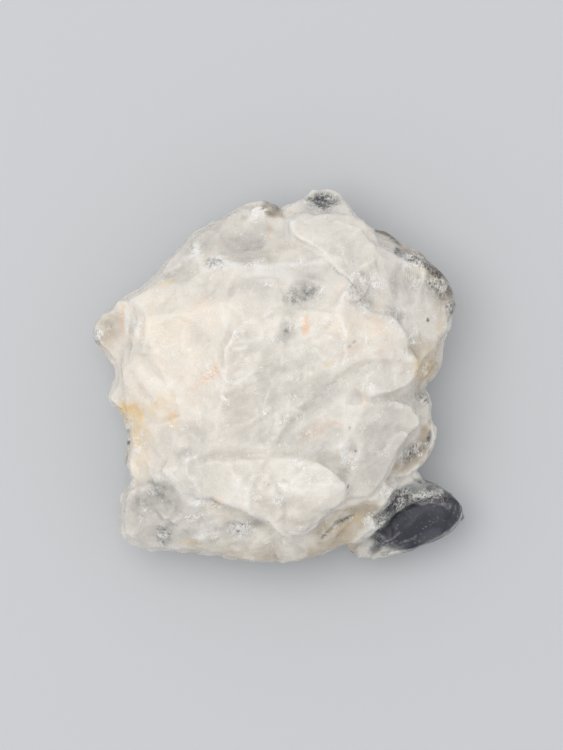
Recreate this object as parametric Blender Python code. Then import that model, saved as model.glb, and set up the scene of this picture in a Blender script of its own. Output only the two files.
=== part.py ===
"""Rough petalite: one broken lump of milky petalite, lying on a flat cleavage face.

The lump is one solid. It is built from the broken plates that it shows, each with its own outline
in plan and the facets that bound it above and below. They are grown together into one skin, which
is then dished by curved (conchoidal) breaks, stepped along the cleavage and split into shallow
flakes. Plan positions are millimetres from the middle of the lump, and heights are millimetres
above the surface that it rests on. A facet's dip is in degrees from level, and it falls towards a
bearing measured anticlockwise from +X.
"""

import math
import random
from dataclasses import dataclass, field

import bmesh
import bpy
import numpy as np
from mathutils import Vector, noise

MM = 0.001

# How finely the plates are merged, and the finished solid's faces
VOXEL = 0.42
TRIANGLES = 9400
SOFTENING = 2

# The perfect cleavage that the ledges follow
CLEAVAGE_DIP = 24.0
CLEAVAGE_BEARING = 118.0
LEDGE_SPACING = 1.9
LEDGE_SHARE = 0.45
LEDGE_WANDER = 0.9
LEDGE_PATCH_SIZE = 11.0

# The unevenness of the broken faces: broad swells, shallow tilted flakes and fine grit
SWELL_SIZE = 9.0
SWELL_HEIGHT = 0.4
FLAKE_SIZE = 6.0
FLAKE_TILT = 0.32
FLAKE_STEP = 0.25
GRIT_SIZE = 1.6
GRIT_HEIGHT = 0.1

# Small conchoidal chips struck off the edges
CHIPS = 70
CHIP_RADIUS = (2.4, 6.5)
CHIP_DEPTH = (0.1, 0.45)
CHIP_SEED = 11

# Blender seeds the sway of the flakes' edges with the time unless it is given a seed
SWAY_SEED = 1795832757

BODY_COLOUR = (0.80, 0.77, 0.71, 1.0)
BODY_ROUGHNESS = 0.38


@dataclass(frozen=True)
class Facet:
    """A plane through a point, falling at dip degrees towards a bearing."""

    at: tuple
    dip: float
    toward: float

    def outward(self, side: int) -> Vector:
        """The plane's normal, out of the stone's top (side 1) or its underside (side -1)."""
        dip, toward = math.radians(self.dip), math.radians(self.toward)
        level = math.sin(dip)
        return Vector((level * math.cos(toward), level * math.sin(toward), side * math.cos(dip)))


@dataclass(frozen=True)
class Plate:
    """One broken plate: levels of its foot, widest line and head, its outline and its facets."""

    name: str
    foot: float
    waist: float
    head: float
    draft: float
    outline: list
    above: list = field(default_factory=list)
    below: list = field(default_factory=list)


@dataclass(frozen=True)
class Strike:
    """A conchoidal break, struck into the skin nearest to a place: a shallow part of a ball."""

    at: tuple
    radius: float
    depth: float


PLATES = [
    Plate(
        "lump", -1.5, 10.5, 27.0, 13.0,
        [
            (-20.9, 4.0), (-20.4, 8.0), (-20.3, 10.5), (-19.7, 11.2), (-18.6, 11.7),
            (-16.0, 13.9), (-14.6, 15.5), (-12.1, 18.0), (-9.6, 20.1), (-7.9, 21.1),
            (-6.4, 21.9), (-4.8, 22.7), (-2.8, 23.2), (-1.3, 23.0), (0.4, 22.3),
            (1.2, 22.9), (3.2, 23.7), (5.3, 25.1), (6.8, 25.2), (8.4, 24.7),
            (9.9, 23.1), (11.4, 21.2), (13.2, 19.0), (15.6, 17.9), (17.6, 17.1),
            (19.0, 16.6), (21.0, 15.2), (22.6, 13.8), (23.7, 12.0), (24.1, 9.5),
            (23.5, 7.5), (23.6, 6.6), (22.8, 5.2), (22.6, 3.2), (22.1, 1.6),
            (21.2, -0.3), (20.0, -1.5), (19.4, -6.0), (18.6, -11.0), (16.0, -14.5),
            (14.0, -18.0), (12.0, -21.2), (8.6, -22.4), (7.0, -23.2), (3.2, -24.4),
            (-0.3, -25.2), (-4.0, -24.9), (-8.1, -24.0), (-12.0, -23.9), (-16.6, -23.5),
            (-19.2, -22.6), (-20.6, -20.9), (-20.5, -15.8), (-19.6, -14.3), (-19.9, -12.4),
            (-20.1, -9.4), (-20.8, -6.9), (-21.6, -4.0), (-21.9, -1.0), (-21.8, 1.5),
        ],
        above=[
            Facet((0.0, 0.0, 23.4), 5.0, 262.0),
            Facet((-12.0, 2.0, 21.0), 22.0, 176.0),
            Facet((-2.0, 11.0, 22.8), 19.0, 96.0),
            Facet((-2.0, 18.0, 17.0), 42.0, 94.0),
            Facet((-13.0, 13.0, 17.4), 40.0, 128.0),
            Facet((15.0, 10.0, 19.6), 34.0, 12.0),
            Facet((16.0, 16.5, 16.4), 58.0, 52.0),
            Facet((19.0, -6.0, 15.0), 50.0, 324.0),
            Facet((-4.0, -20.0, 14.6), 36.0, 268.0),
            Facet((-17.0, -8.0, 17.6), 40.0, 196.0),
        ],
        below=[
            Facet((-14.5, 0.0, 0.8), 56.0, 178.0),
            Facet((-8.0, 10.5, 0.8), 47.0, 118.0),
            Facet((2.0, 12.5, 0.8), 30.0, 84.0),
            Facet((10.5, 10.0, 0.8), 46.0, 38.0),
            Facet((13.0, 2.0, 0.8), 48.0, 352.0),
            Facet((7.5, -10.0, 1.0), 36.0, 312.0),
            Facet((-4.0, -14.0, 0.8), 36.0, 268.0),
            Facet((-13.0, -11.0, 1.0), 47.0, 220.0),
        ],
    ),
    Plate(
        "left lobe", 5.5, 10.5, 17.5, 14.0,
        [
            (-22.9, 3.2), (-24.0, 4.2), (-24.6, 5.3), (-24.3, 6.7), (-23.3, 8.0),
            (-22.2, 9.0), (-20.4, 10.5), (-17.0, 10.0), (-17.0, 1.0), (-21.9, 1.6),
        ],
        above=[Facet((-21.0, 7.0, 14.2), 27.0, 182.0)],
        below=[Facet((-21.0, 6.0, 6.4), 34.0, 186.0)],
    ),
    Plate(
        "left knuckle", 6.5, 11.0, 16.0, 14.0,
        [
            (-21.9, -0.8), (-22.8, -3.0), (-22.85, -4.5), (-22.2, -5.0), (-20.0, -5.2),
            (-17.0, -3.0), (-18.0, 1.0),
        ],
        above=[Facet((-21.5, -3.0, 14.0), 30.0, 205.0)],
        below=[Facet((-21.5, -3.0, 8.0), 36.0, 190.0)],
    ),
    Plate(
        "side knob", 6.0, 9.0, 12.5, 10.0,
        [(-20.1, -9.4), (-20.6, -11.0), (-20.5, -12.2), (-19.2, -12.5), (-17.2, -10.6)],
        above=[Facet((-19.6, -11.0, 11.4), 28.0, 190.0)],
    ),
    Plate(
        "corner block", 4.0, 9.5, 19.5, 9.0,
        [
            (-20.6, -15.8), (-19.6, -14.4), (-16.2, -13.2), (-13.6, -13.2), (-9.0, -15.0),
            (-3.6, -17.0), (-0.4, -19.4), (-0.4, -24.8), (-4.0, -24.7), (-8.1, -23.9),
            (-12.0, -23.8), (-16.9, -23.5), (-19.2, -22.6), (-20.9, -20.9), (-21.0, -18.2),
        ],
        above=[
            Facet((-14.0, -18.0, 17.4), 19.0, 226.0),
            Facet((-13.0, -22.0, 14.4), 44.0, 258.0),
            Facet((-19.0, -19.0, 14.6), 38.0, 196.0),
            Facet((-8.0, -19.0, 17.4), 22.0, 344.0),
            Facet((-6.0, -21.6, 14.8), 38.0, 274.0),
        ],
        below=[Facet((-15.0, -19.0, 4.6), 40.0, 228.0)],
    ),
    Plate(
        "shoulder", 7.0, 14.0, 21.8, 8.0,
        [
            (1.1, 20.8), (1.6, 18.4), (4.8, 16.5), (8.3, 14.5), (11.2, 13.4),
            (14.6, 15.4), (13.8, 18.4), (10.8, 21.0), (7.2, 22.0), (3.2, 21.9),
        ],
        above=[
            Facet((7.0, 18.0, 18.9), 36.0, 74.0),
            Facet((12.0, 16.0, 18.4), 38.0, 40.0),
        ],
    ),
    Plate(
        "crest knob", 7.0, 10.5, 16.5, 12.0,
        [
            (-4.2, 22.7), (-2.7, 23.45), (-1.4, 23.5), (0.2, 22.7), (-0.4, 20.8),
            (-2.4, 20.0), (-4.4, 20.8),
        ],
        above=[Facet((-2.0, 22.2, 14.6), 34.0, 84.0)],
        below=[Facet((-2.0, 22.0, 8.0), 30.0, 90.0)],
    ),
    Plate(
        "back sliver", 5.5, 8.5, 11.5, 6.0,
        [
            (12.0, 20.2), (13.1, 19.95), (14.6, 19.55), (15.5, 18.9), (16.4, 18.0),
            (17.6, 17.1), (15.0, 13.0), (10.5, 16.0),
        ],
        above=[Facet((14.5, 18.5, 10.6), 22.0, 52.0)],
        below=[Facet((14.0, 17.0, 5.8), 25.0, 50.0)],
    ),
    Plate(
        "left lip", 10.0, 22.0, 25.4, 12.0,
        [
            (-7.3, 3.6), (-7.1, 0.6), (-6.3, -0.9), (-4.9, -0.9), (-3.2, 0.2),
            (-1.2, 1.8), (0.0, 3.8), (-1.6, 7.0), (-5.6, 7.2),
        ],
        above=[
            Facet((-3.6, 1.6, 24.1), 8.0, 240.0),
            Facet((-3.0, 4.0, 24.1), 13.0, 70.0),
        ],
    ),
    Plate(
        "cheek", 9.0, 21.0, 24.8, 12.0,
        [
            (5.4, 4.0), (8.2, 8.8), (13.4, 9.4), (15.8, 7.4), (17.1, 5.0), (17.3, 3.3),
            (18.5, 2.1), (18.8, 0.9), (17.8, -0.8), (15.4, -2.5), (11.6, -3.3), (7.4, -2.2),
        ],
        above=[
            Facet((11.0, 2.0, 23.8), 9.0, 20.0),
            Facet((15.6, 2.0, 22.2), 26.0, 8.0),
            Facet((12.0, 7.0, 22.8), 24.0, 66.0),
            Facet((8.0, -1.0, 23.6), 12.0, 222.0),
        ],
    ),
    Plate(
        "right plate", 10.0, 17.5, 24.4, 8.0,
        [
            (9.4, -4.2), (12.6, -2.9), (16.0, -2.7), (18.1, -3.6), (19.3, -4.9),
            (19.2, -6.6), (17.6, -8.9), (15.5, -11.5), (14.4, -13.5), (13.5, -15.2),
            (12.0, -16.2), (9.6, -16.3), (9.3, -13.6), (9.9, -11.0), (10.1, -8.6),
            (9.3, -6.4),
        ],
        above=[
            Facet((12.6, -8.0, 22.2), 17.0, 312.0),
            Facet((17.0, -6.0, 20.5), 32.0, 322.0),
            Facet((12.0, -14.0, 19.8), 28.0, 280.0),
        ],
        below=[Facet((15.0, -8.0, 11.0), 24.0, 318.0)],
    ),
    Plate(
        "tongue", 12.0, 19.5, 25.4, 14.0,
        [
            (-15.0, -12.4), (-9.0, -10.8), (-1.4, -10.4), (4.0, -10.5), (7.8, -12.0),
            (9.8, -14.4), (9.3, -16.4), (7.2, -18.0), (5.4, -19.8), (3.6, -21.1),
            (1.9, -21.5), (0.1, -20.7), (-1.2, -19.3), (-4.0, -18.2), (-6.5, -17.1),
            (-8.6, -15.8), (-12.2, -15.4),
        ],
        above=[
            Facet((1.0, -11.0, 22.35), 8.0, 82.0),
            Facet((1.0, -14.0, 22.8), 16.0, 268.0),
            Facet((-8.0, -13.6, 21.6), 24.0, 214.0),
            Facet((6.0, -15.0, 22.6), 28.0, 304.0),
        ],
        below=[Facet((0.0, -17.0, 14.0), 30.0, 262.0)],
    ),
    Plate(
        "upper tier", 8.0, 13.0, 18.0, 10.0,
        [
            (6.8, -18.2), (8.6, -17.2), (9.8, -16.0), (14.6, -13.4), (16.4, -14.2),
            (14.8, -17.4), (13.4, -18.5),
        ],
        above=[Facet((11.0, -17.0, 16.8), 22.0, 285.0)],
    ),
    Plate(
        "lower tier", 6.0, 10.0, 15.6, 10.0,
        [
            (3.4, -21.0), (6.8, -18.2), (13.2, -18.2), (13.8, -20.4), (10.6, -22.3),
            (8.6, -22.5), (7.0, -23.3), (4.0, -24.2), (-1.0, -24.9), (-1.0, -20.0),
        ],
        above=[
            Facet((8.0, -20.0, 14.4), 28.0, 286.0),
            Facet((3.0, -22.6, 12.8), 42.0, 278.0),
        ],
        below=[Facet((6.0, -20.0, 7.0), 30.0, 280.0)],
    ),
    Plate(
        "right rim", 6.6, 10.5, 15.8, 8.0,
        [
            (17.6, -1.2), (20.4, -2.0), (20.7, -3.2), (20.5, -5.0), (21.0, -6.6),
            (20.95, -8.6), (20.4, -10.1), (18.8, -12.3), (17.4, -13.6), (14.0, -13.4),
            (12.0, -8.0),
        ],
        above=[
            Facet((18.0, -7.0, 14.6), 13.0, 322.0),
            Facet((20.0, -7.5, 13.2), 36.0, 350.0),
        ],
        below=[Facet((18.0, -6.0, 7.6), 26.0, 350.0)],
    ),
    Plate(
        "clear flake", 4.4, 7.4, 10.6, 10.0,
        [
            (18.8, -12.5), (19.3, -13.2), (19.8, -13.9), (21.4, -14.3), (23.3, -15.7),
            (24.4, -17.1), (24.8, -18.3), (24.5, -19.1), (22.3, -21.6), (20.7, -22.7),
            (18.5, -23.5), (16.0, -23.8), (14.5, -24.1), (12.8, -24.5), (10.9, -23.9),
            (9.4, -22.6), (8.0, -18.0), (12.0, -12.0),
        ],
        above=[
            Facet((18.5, -19.0, 9.4), 6.0, 300.0),
            Facet((22.6, -17.6, 8.8), 24.0, 350.0),
            Facet((16.0, -22.6, 8.8), 24.0, 268.0),
        ],
        below=[Facet((15.0, -18.0, 4.8), 8.0, 320.0)],
    ),
    Plate(
        "flake step", 6.0, 9.5, 13.0, 16.0,
        [
            (13.2, -12.6), (17.6, -13.2), (19.8, -14.2), (22.2, -15.0), (22.6, -15.9),
            (18.8, -16.9), (16.4, -18.1), (14.6, -19.8), (12.2, -21.8), (9.6, -21.4),
        ],
        above=[Facet((17.0, -15.6, 11.2), 16.0, 318.0)],
    ),
]

STRIKES = [
    Strike((2.0, -4.5, 23.0), 60.0, 0.7),  # broad shallow dish of the middle face
    Strike((-10.5, -9.0, 21.5), 16.0, 0.6),  # dent at its left
    Strike((3.8, 11.2, 22.8), 6.0, 0.7),  # hollow under the shoulder's edge
    Strike((1.6, 5.2, 23.0), 3.6, 0.4),  # small hollow below it
    Strike((11.5, 11.6, 21.2), 7.0, 0.9),
    Strike((-13.0, 15.6, 16.0), 10.0, 0.8),
    Strike((-4.6, 17.8, 17.2), 9.0, 0.9),  # dished crest
    Strike((-9.4, 18.4, 15.6), 9.0, 0.6),
    Strike((6.3, 24.0, 12.0), 6.0, 0.7),  # dished peak
    Strike((-15.5, -16.8, 17.0), 6.5, 1.2),  # dished corner block
    Strike((-5.0, -20.6, 14.4), 5.0, 0.8),  # hollow beside the tongue's tip
    Strike((18.5, 13.0, 17.5), 10.0, 1.0),
    Strike((20.4, 1.2, 17.0), 6.0, 1.2),  # drop beside the cheek
    Strike((18.4, -10.2, 13.5), 5.0, 1.0),  # window in the right rim
    Strike((-22.4, 7.0, 14.0), 9.0, 0.8),  # dished top of the left lobe
    Strike((-20.6, -7.2, 11.5), 7.0, 1.0),  # pocket under the left knuckle
    Strike((9.0, -20.2, 14.0), 7.0, 0.8),
    Strike((19.0, -19.6, 9.4), 30.0, 0.5),  # smooth face of the clear flake
    Strike((-10.0, 20.0, 4.0), 12.0, 1.0),
    Strike((16.0, -2.0, 3.0), 14.0, 1.1),
    Strike((-14.0, -18.0, 3.0), 11.0, 1.0),
    Strike((4.0, -20.0, 4.0), 13.0, 1.0),
    Strike((-18.0, 4.0, 4.0), 12.0, 0.9),
]


def drawn_in(outline, distance):
    """The outline with its points moved towards its middle by a distance."""
    middle = sum((Vector(point) for point in outline), Vector((0.0, 0.0))) / len(outline)
    points = []
    for point in outline:
        inward = middle - Vector(point)
        points.append(Vector(point) + inward.normalized() * distance)
    return points


def plate_ring(bm, plate, level):
    """One ring of a plate's side, drawn in by the draft above and below the waist."""
    distance = abs(level - plate.waist) * math.tan(math.radians(plate.draft))
    return [bm.verts.new((x * MM, y * MM, level * MM)) for x, y in drawn_in(plate.outline, distance)]


def cut_by(bm, plane_co, plane_no):
    """Removes what lies outside a plane and closes the cut."""
    cut = bmesh.ops.bisect_plane(
        bm,
        geom=bm.verts[:] + bm.edges[:] + bm.faces[:],
        plane_co=plane_co,
        plane_no=plane_no,
        clear_outer=True,
    )
    rim = [part for part in cut["geom_cut"] if isinstance(part, bmesh.types.BMEdge)]
    if rim:
        bmesh.ops.edgenet_fill(bm, edges=rim)


def add_plate(raw, plate):
    """Builds one plate and adds it to the raw mesh of overlapping plates."""
    bm = bmesh.new()
    rings = [plate_ring(bm, plate, level) for level in (plate.foot, plate.waist, plate.head)]
    bm.faces.new(rings[0])
    bm.faces.new(rings[-1])
    for lower, upper in zip(rings, rings[1:]):
        for i in range(len(lower)):
            bm.faces.new((lower[i - 1], lower[i], upper[i], upper[i - 1]))
    for facet in plate.above:
        cut_by(bm, Vector(facet.at) * MM, facet.outward(1))
    for facet in plate.below:
        cut_by(bm, Vector(facet.at) * MM, facet.outward(-1))
    bmesh.ops.recalc_face_normals(bm, faces=bm.faces[:])
    mesh = bpy.data.meshes.new(plate.name)
    bm.to_mesh(mesh)
    bm.free()
    raw.from_mesh(mesh)
    bpy.data.meshes.remove(mesh)


def raw_lump():
    """All the plates in one object, still overlapping."""
    raw = bmesh.new()
    for plate in PLATES:
        add_plate(raw, plate)
    mesh = bpy.data.meshes.new("petalite")
    raw.to_mesh(mesh)
    raw.free()
    lump = bpy.data.objects.new("petalite", mesh)
    bpy.context.scene.collection.objects.link(lump)
    return lump


def apply_modifiers(lump):
    """Replaces the mesh by what its modifiers make of it."""
    graph = bpy.context.evaluated_depsgraph_get()
    mesh = bpy.data.meshes.new_from_object(lump.evaluated_get(graph))
    lump.modifiers.clear()
    lump.data = mesh


def merge_plates(lump):
    """Grows the overlapping plates together into one closed skin, its edges a little worn."""
    remesh = lump.modifiers.new("grown together", "REMESH")
    remesh.mode = "VOXEL"
    remesh.voxel_size = VOXEL * MM
    soften = lump.modifiers.new("worn edges", "SMOOTH")
    soften.factor = 0.5
    soften.iterations = SOFTENING
    apply_modifiers(lump)


def struck_chips(points):
    """Small conchoidal chips at scattered places on the skin, the same ones each time."""
    pick = random.Random(CHIP_SEED)
    chips = []
    for _ in range(CHIPS):
        at = points[pick.randrange(len(points))]
        chips.append(Strike(tuple(at), pick.uniform(*CHIP_RADIUS), pick.uniform(*CHIP_DEPTH)))
    return chips


def dish_offsets(points, normals, strikes):
    """How far each point of the skin sinks into the conchoidal breaks."""
    skin = np.array(points)
    sunk = np.zeros_like(skin)
    for strike in strikes:
        nearest = int(np.argmin(np.linalg.norm(skin - np.array(strike.at), axis=1)))
        away = np.array(normals[nearest])
        centre = skin[nearest] + away * (strike.radius - strike.depth)
        depth = strike.radius - np.linalg.norm(skin + sunk - centre, axis=1)
        sunk -= np.clip(depth, 0.0, strike.depth)[:, None] * away
    return [Vector(offset) for offset in sunk]


def ledge_offset(point, cleavage):
    """How far a point moves along the cleavage's normal, so that the skin steps there."""
    height = point.dot(cleavage) + LEDGE_WANDER * noise.noise(point / SWELL_SIZE)
    step = height / LEDGE_SPACING
    part = step - math.floor(step)
    stair = part * part * part * (part * (6.0 * part - 15.0) + 10.0)
    patch = noise.noise(point / LEDGE_PATCH_SIZE + Vector((7.0, 3.0, 5.0)))
    share = LEDGE_SHARE * min(1.0, max(0.0, 0.4 + 1.8 * patch))
    return (stair - part) * LEDGE_SPACING * share


def flake_offset(point):
    """Height of the shallow flake that a point lies on, each flake with its own tilt and level."""
    place = point / FLAKE_SIZE + 0.35 * noise.noise_vector(point / FLAKE_SIZE)
    seed = noise.voronoi(place)[1][0]
    tilt = noise.cell_vector(seed * 17.0) - Vector((0.5, 0.5, 0.5))
    return 2.0 * FLAKE_TILT * (place - seed).dot(tilt) + FLAKE_STEP * tilt.x


def skin_height(point):
    """Height of the fractured skin above the plates."""
    swell = SWELL_HEIGHT * noise.fractal(point / SWELL_SIZE, 1.0, 2.0, 3)
    grit = GRIT_HEIGHT * noise.fractal(point / GRIT_SIZE, 1.0, 2.0, 2)
    return swell + flake_offset(point) + grit


def fracture_skin(lump):
    """Dishes, steps and flakes the merged skin."""
    points = [vertex.co / MM for vertex in lump.data.vertices]
    normals = [vertex.normal.copy() for vertex in lump.data.vertices]
    dishes = dish_offsets(points, normals, STRIKES + struck_chips(points))
    cleavage = Facet((0.0, 0.0, 0.0), CLEAVAGE_DIP, CLEAVAGE_BEARING).outward(1)
    flat = []
    for point, normal, dish in zip(points, normals, dishes):
        point = point + dish
        point += cleavage * ledge_offset(point, cleavage)
        point += normal * skin_height(point)
        flat.extend(point * MM)
    lump.data.vertices.foreach_set("co", flat)
    lump.data.update()


def reduce_faces(lump):
    """Keeps only the faces that the form needs."""
    fewer = lump.modifiers.new("fewer faces", "DECIMATE")
    fewer.ratio = TRIANGLES / (2.0 * len(lump.data.polygons))
    apply_modifiers(lump)


def flatten_base(lump):
    """Cleaves the underside flat where the lump rests."""
    bm = bmesh.new()
    bm.from_mesh(lump.data)
    cut_by(bm, (0.0, 0.0, 0.0), (0.0, 0.0, -1.0))
    bmesh.ops.triangulate(bm, faces=bm.faces[:])
    bmesh.ops.recalc_face_normals(bm, faces=bm.faces[:])
    bm.to_mesh(lump.data)
    bm.free()


def milky_petalite():
    """Waxy, translucent white stone."""
    material = bpy.data.materials.new("milky_petalite")
    material.use_nodes = True
    shader = material.node_tree.nodes["Principled BSDF"]
    shader.inputs["Base Color"].default_value = BODY_COLOUR
    shader.inputs["Roughness"].default_value = BODY_ROUGHNESS
    shader.inputs["Metallic"].default_value = 0.0
    return material


def main():
    """Builds the lump."""
    for old in list(bpy.data.objects):
        bpy.data.objects.remove(old)
    noise.seed_set(SWAY_SEED)
    lump = raw_lump()
    merge_plates(lump)
    fracture_skin(lump)
    reduce_faces(lump)
    flatten_base(lump)
    lump.data.materials.clear()
    lump.data.materials.append(milky_petalite())


main()
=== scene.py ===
"""Rough petalite as it looks: a milky, waxy lump with grey clear windows and a smoky clear flake.

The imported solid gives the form. A copy of it is remeshed finely, its broken faces get their steps,
flakes and grit, and the places of its colours are kept on the mesh as named layers, which the
stone's one finish reads. Places on the stone are given in millimetres as seen from above.
"""

import logging
import math
from dataclasses import dataclass, field
from enum import Enum

import bpy
import numpy as np
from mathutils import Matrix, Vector, noise


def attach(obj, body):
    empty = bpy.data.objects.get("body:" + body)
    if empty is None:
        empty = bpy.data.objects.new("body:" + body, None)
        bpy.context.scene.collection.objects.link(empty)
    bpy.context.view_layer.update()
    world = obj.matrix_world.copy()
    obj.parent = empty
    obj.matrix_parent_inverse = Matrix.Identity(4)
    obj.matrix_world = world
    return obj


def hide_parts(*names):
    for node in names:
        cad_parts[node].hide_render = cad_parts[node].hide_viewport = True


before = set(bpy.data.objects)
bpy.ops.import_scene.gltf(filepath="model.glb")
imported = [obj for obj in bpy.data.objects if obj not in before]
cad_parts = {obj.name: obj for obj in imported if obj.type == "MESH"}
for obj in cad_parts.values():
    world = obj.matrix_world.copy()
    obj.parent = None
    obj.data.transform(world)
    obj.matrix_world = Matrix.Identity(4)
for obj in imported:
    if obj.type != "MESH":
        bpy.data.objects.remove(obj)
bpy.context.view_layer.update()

MM = 0.001

Thing = bpy.types.Object
Socket = bpy.types.NodeSocket
Values = np.ndarray
Span = tuple[float, ...]
Fractal = tuple[float, float, int]

log = logging.getLogger("petalite")


class Layer(Enum):
    """The layers kept on the stone's mesh. Each value is the name of a point attribute."""

    CREAM = "cream"
    GREY = "grey"
    TAN = "tan"
    OCHRE = "ochre"
    PEACH = "peach"
    # Frost, with painted glints, highlights and painted light rims among it.
    FROST_AND_GLINTS = "frost_and_glint"
    CLEAR = "clear"
    BUSY = "busy"
    GRIT = "grit"
    RIDGE = "ridge"


def smooth_step(low: float, high: float, value: Values) -> Values:
    """Eases a value from 0 at low to 1 at high.

    Args:
        low: Where the result is 0. It may be above high, which turns the step round.
        high: Where the result is 1.
        value: The numbers to ease.

    Returns:
        The eased numbers, between 0 and 1.
    """
    share = np.clip((value - low) / (high - low), 0.0, 1.0)
    return share * share * (3.0 - 2.0 * share)


@dataclass(frozen=True)
class Oval:
    """A soft-edged oval on the stone as seen from above.

    The place and the half sizes are in millimetres, and the turn is in degrees from +X.
    """

    x: float
    y: float
    long: float
    short: float
    turn: float = 0.0
    strength: float = 1.0
    edge: float = 0.8

    def cover(self, plan: Values) -> Values:
        """How much of the oval lies on each point.

        Args:
            plan: The points' places seen from above, in millimetres.

        Returns:
            The cover of each point, from 0 to the oval's strength.
        """
        turn = math.radians(self.turn)
        away = plan - np.array((self.x, self.y))
        along = away @ np.array((math.cos(turn), math.sin(turn))) / self.long
        across = away @ np.array((-math.sin(turn), math.cos(turn))) / self.short
        return self.strength * smooth_step(1.0 + self.edge, 1.0 - self.edge, np.hypot(along, across))


@dataclass(frozen=True)
class Streak:
    """A soft line through points seen from above, with its half width in millimetres."""

    points: tuple
    width: float
    strength: float = 1.0

    def cover(self, plan: Values) -> Values:
        """How much of the line lies on each point.

        Args:
            plan: The points' places seen from above, in millimetres.

        Returns:
            The cover of each point, from 0 to the line's strength.
        """
        nearest = segment_distance(plan, self.points)
        return self.strength * smooth_step(1.5 * self.width, 0.4 * self.width, nearest)


@dataclass(frozen=True)
class Field:
    """A soft-edged area with corners seen from above, in millimetres."""

    corners: tuple
    strength: float = 1.0
    edge: float = 0.8

    def cover(self, plan: Values) -> Values:
        """How much of the area lies on each point.

        Args:
            plan: The points' places seen from above, in millimetres.

        Returns:
            The cover of each point, from 0 to the area's strength.
        """
        ring = self.corners + self.corners[:1]
        inside = np.zeros(len(plan), dtype=bool)
        for (ax, ay), (bx, by) in zip(ring, ring[1:]):
            crosses = (ay > plan[:, 1]) != (by > plan[:, 1])
            at = ax + (plan[:, 1] - ay) * (bx - ax) / ((by - ay) or 1e-9)
            inside ^= crosses & (plan[:, 0] < at)
        depth = np.where(inside, 1.0, -1.0) * segment_distance(plan, ring)
        return self.strength * smooth_step(-self.edge, self.edge, depth)


def segment_distance(plan: Values, points: tuple) -> Values:
    """Distance of each place from a line through points, in millimetres.

    Args:
        plan: The places, one row each.
        points: The line's points.

    Returns:
        The distances.
    """
    nearest = np.full(len(plan), 1e9)
    for start, end in zip(points, points[1:]):
        start, run = np.array(start), np.array(end) - np.array(start)
        share = np.clip((plan - start) @ run / max(run @ run, 1e-9), 0.0, 1.0)
        nearest = np.minimum(nearest, np.linalg.norm(plan - start - share[:, None] * run, axis=1))
    return nearest


FLAKE = Field(
    ((19.2, -13.4), (21.8, -13.6), (24.0, -14.8), (25.6, -17.0), (26.2, -18.8), (24.8, -21.0),
     (22.8, -22.9), (21.0, -24.2), (18.0, -24.4), (16.0, -23.2), (14.0, -22.6), (12.6, -21.8),
     (13.4, -20.4), (12.8, -18.8), (14.6, -17.4), (15.4, -15.4), (17.4, -14.2)),
    0.60, 0.5,
)
HEEL = Field(
    ((12.6, -21.4), (16.2, -22.9), (19.0, -23.2), (18.6, -24.8), (13.2, -26.0), (9.6, -25.2),
     (8.8, -23.4)),
    0.42, 0.6,
)
SMOKE = Field(
    ((13.7, -20.6), (14.9, -19.7), (16.2, -18.0), (17.3, -17.4), (18.3, -17.1), (19.5, -17.5),
     (20.5, -16.9), (22.1, -17.1), (23.3, -17.4), (24.5, -18.3), (24.3, -19.2), (23.0, -20.7),
     (21.7, -22.0), (20.2, -22.9), (18.6, -23.2), (17.0, -22.8), (15.8, -22.3), (14.6, -21.7)),
    0.96, 0.3,
)

CREAM = (
    Oval(-15.0, 5.0, 9.5, 6.0, 35, 0.62, 0.9),
    Oval(-13.5, -3.5, 8.0, 4.5, 15, 0.55, 0.9),
    Oval(-18.5, -10.5, 3.0, 6.0, -15, 0.6, 0.9),
    Oval(10.0, 7.0, 4.0, 2.4, 10, 0.5, 0.9),
    Oval(13.5, 6.5, 2.0, 3.4, 0, 0.45, 0.9),
    Oval(-7.5, -4.6, 3.2, 2.0, 10, 0.5),
    Oval(-8.6, -17.6, 1.4, 1.8, -20, 0.7, 0.7),
    Oval(19.0, 14.0, 1.6, 0.8, -30, 0.4),
)

GREY = (
    Oval(0.0, -3.0, 9.0, 4.0, 5, 0.55),
    # The next two ovals are painted shade: a soft grey band in the shallow valley above the tongue.
    Oval(-9.5, -8.6, 5.5, 2.4, 0, 0.45),
    Oval(4.5, -8.8, 5.0, 2.2, -4, 0.6),
    # Painted shade: darker along the bottom edge.
    Oval(0.0, -23.6, 9.0, 1.6, -2, 0.6),
    Oval(2.8, -18.2, 4.2, 2.8, -10, 0.4, 0.7),
    Oval(3.0, -13.0, 3.0, 1.6, 0, 0.12),
    Field(((-13.2, 16.4), (-9.5, 20.4), (-4.5, 22.6), (-1, 20.4), (-0.5, 15.3), (-9, 15.6)), 0.58, 0.8),
    Oval(-13.0, 14.0, 1.6, 1.1, 10, 0.6, 0.7),
    Oval(-8.0, -13.6, 3.4, 1.8, -10, 0.3),
    Oval(-6.0, -21.8, 5.0, 2.2, -8, 0.25),
    Oval(-6.8, 11.2, 2.4, 1.4, 0, 0.45),
    Oval(-2.0, 12.0, 3.0, 1.4, -5, 0.45, 0.7),
    Oval(14.6, -8.0, 4.2, 5.0, 20, 0.6),
    Oval(12.0, -13.4, 3.0, 2.4, 0, 0.45),
    Oval(-15.8, -18.6, 6.0, 4.6, 0, 0.95, 0.7),
    Oval(16.0, 12.6, 5.0, 2.6, -20, 0.5),
    Oval(6.0, 17.4, 4.4, 2.4, -28, 0.35, 0.7),
    Oval(-19.2, 3.2, 1.8, 1.4, -30, 0.4),
    Oval(-3.0, 5.0, 3.5, 2.4, 30, 0.35),
    Oval(12.0, 2.0, 4.0, 1.8, 0, 0.3),
    Oval(19.0, -2.4, 1.8, 1.2, -20, 0.6, 0.6),
)

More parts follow.
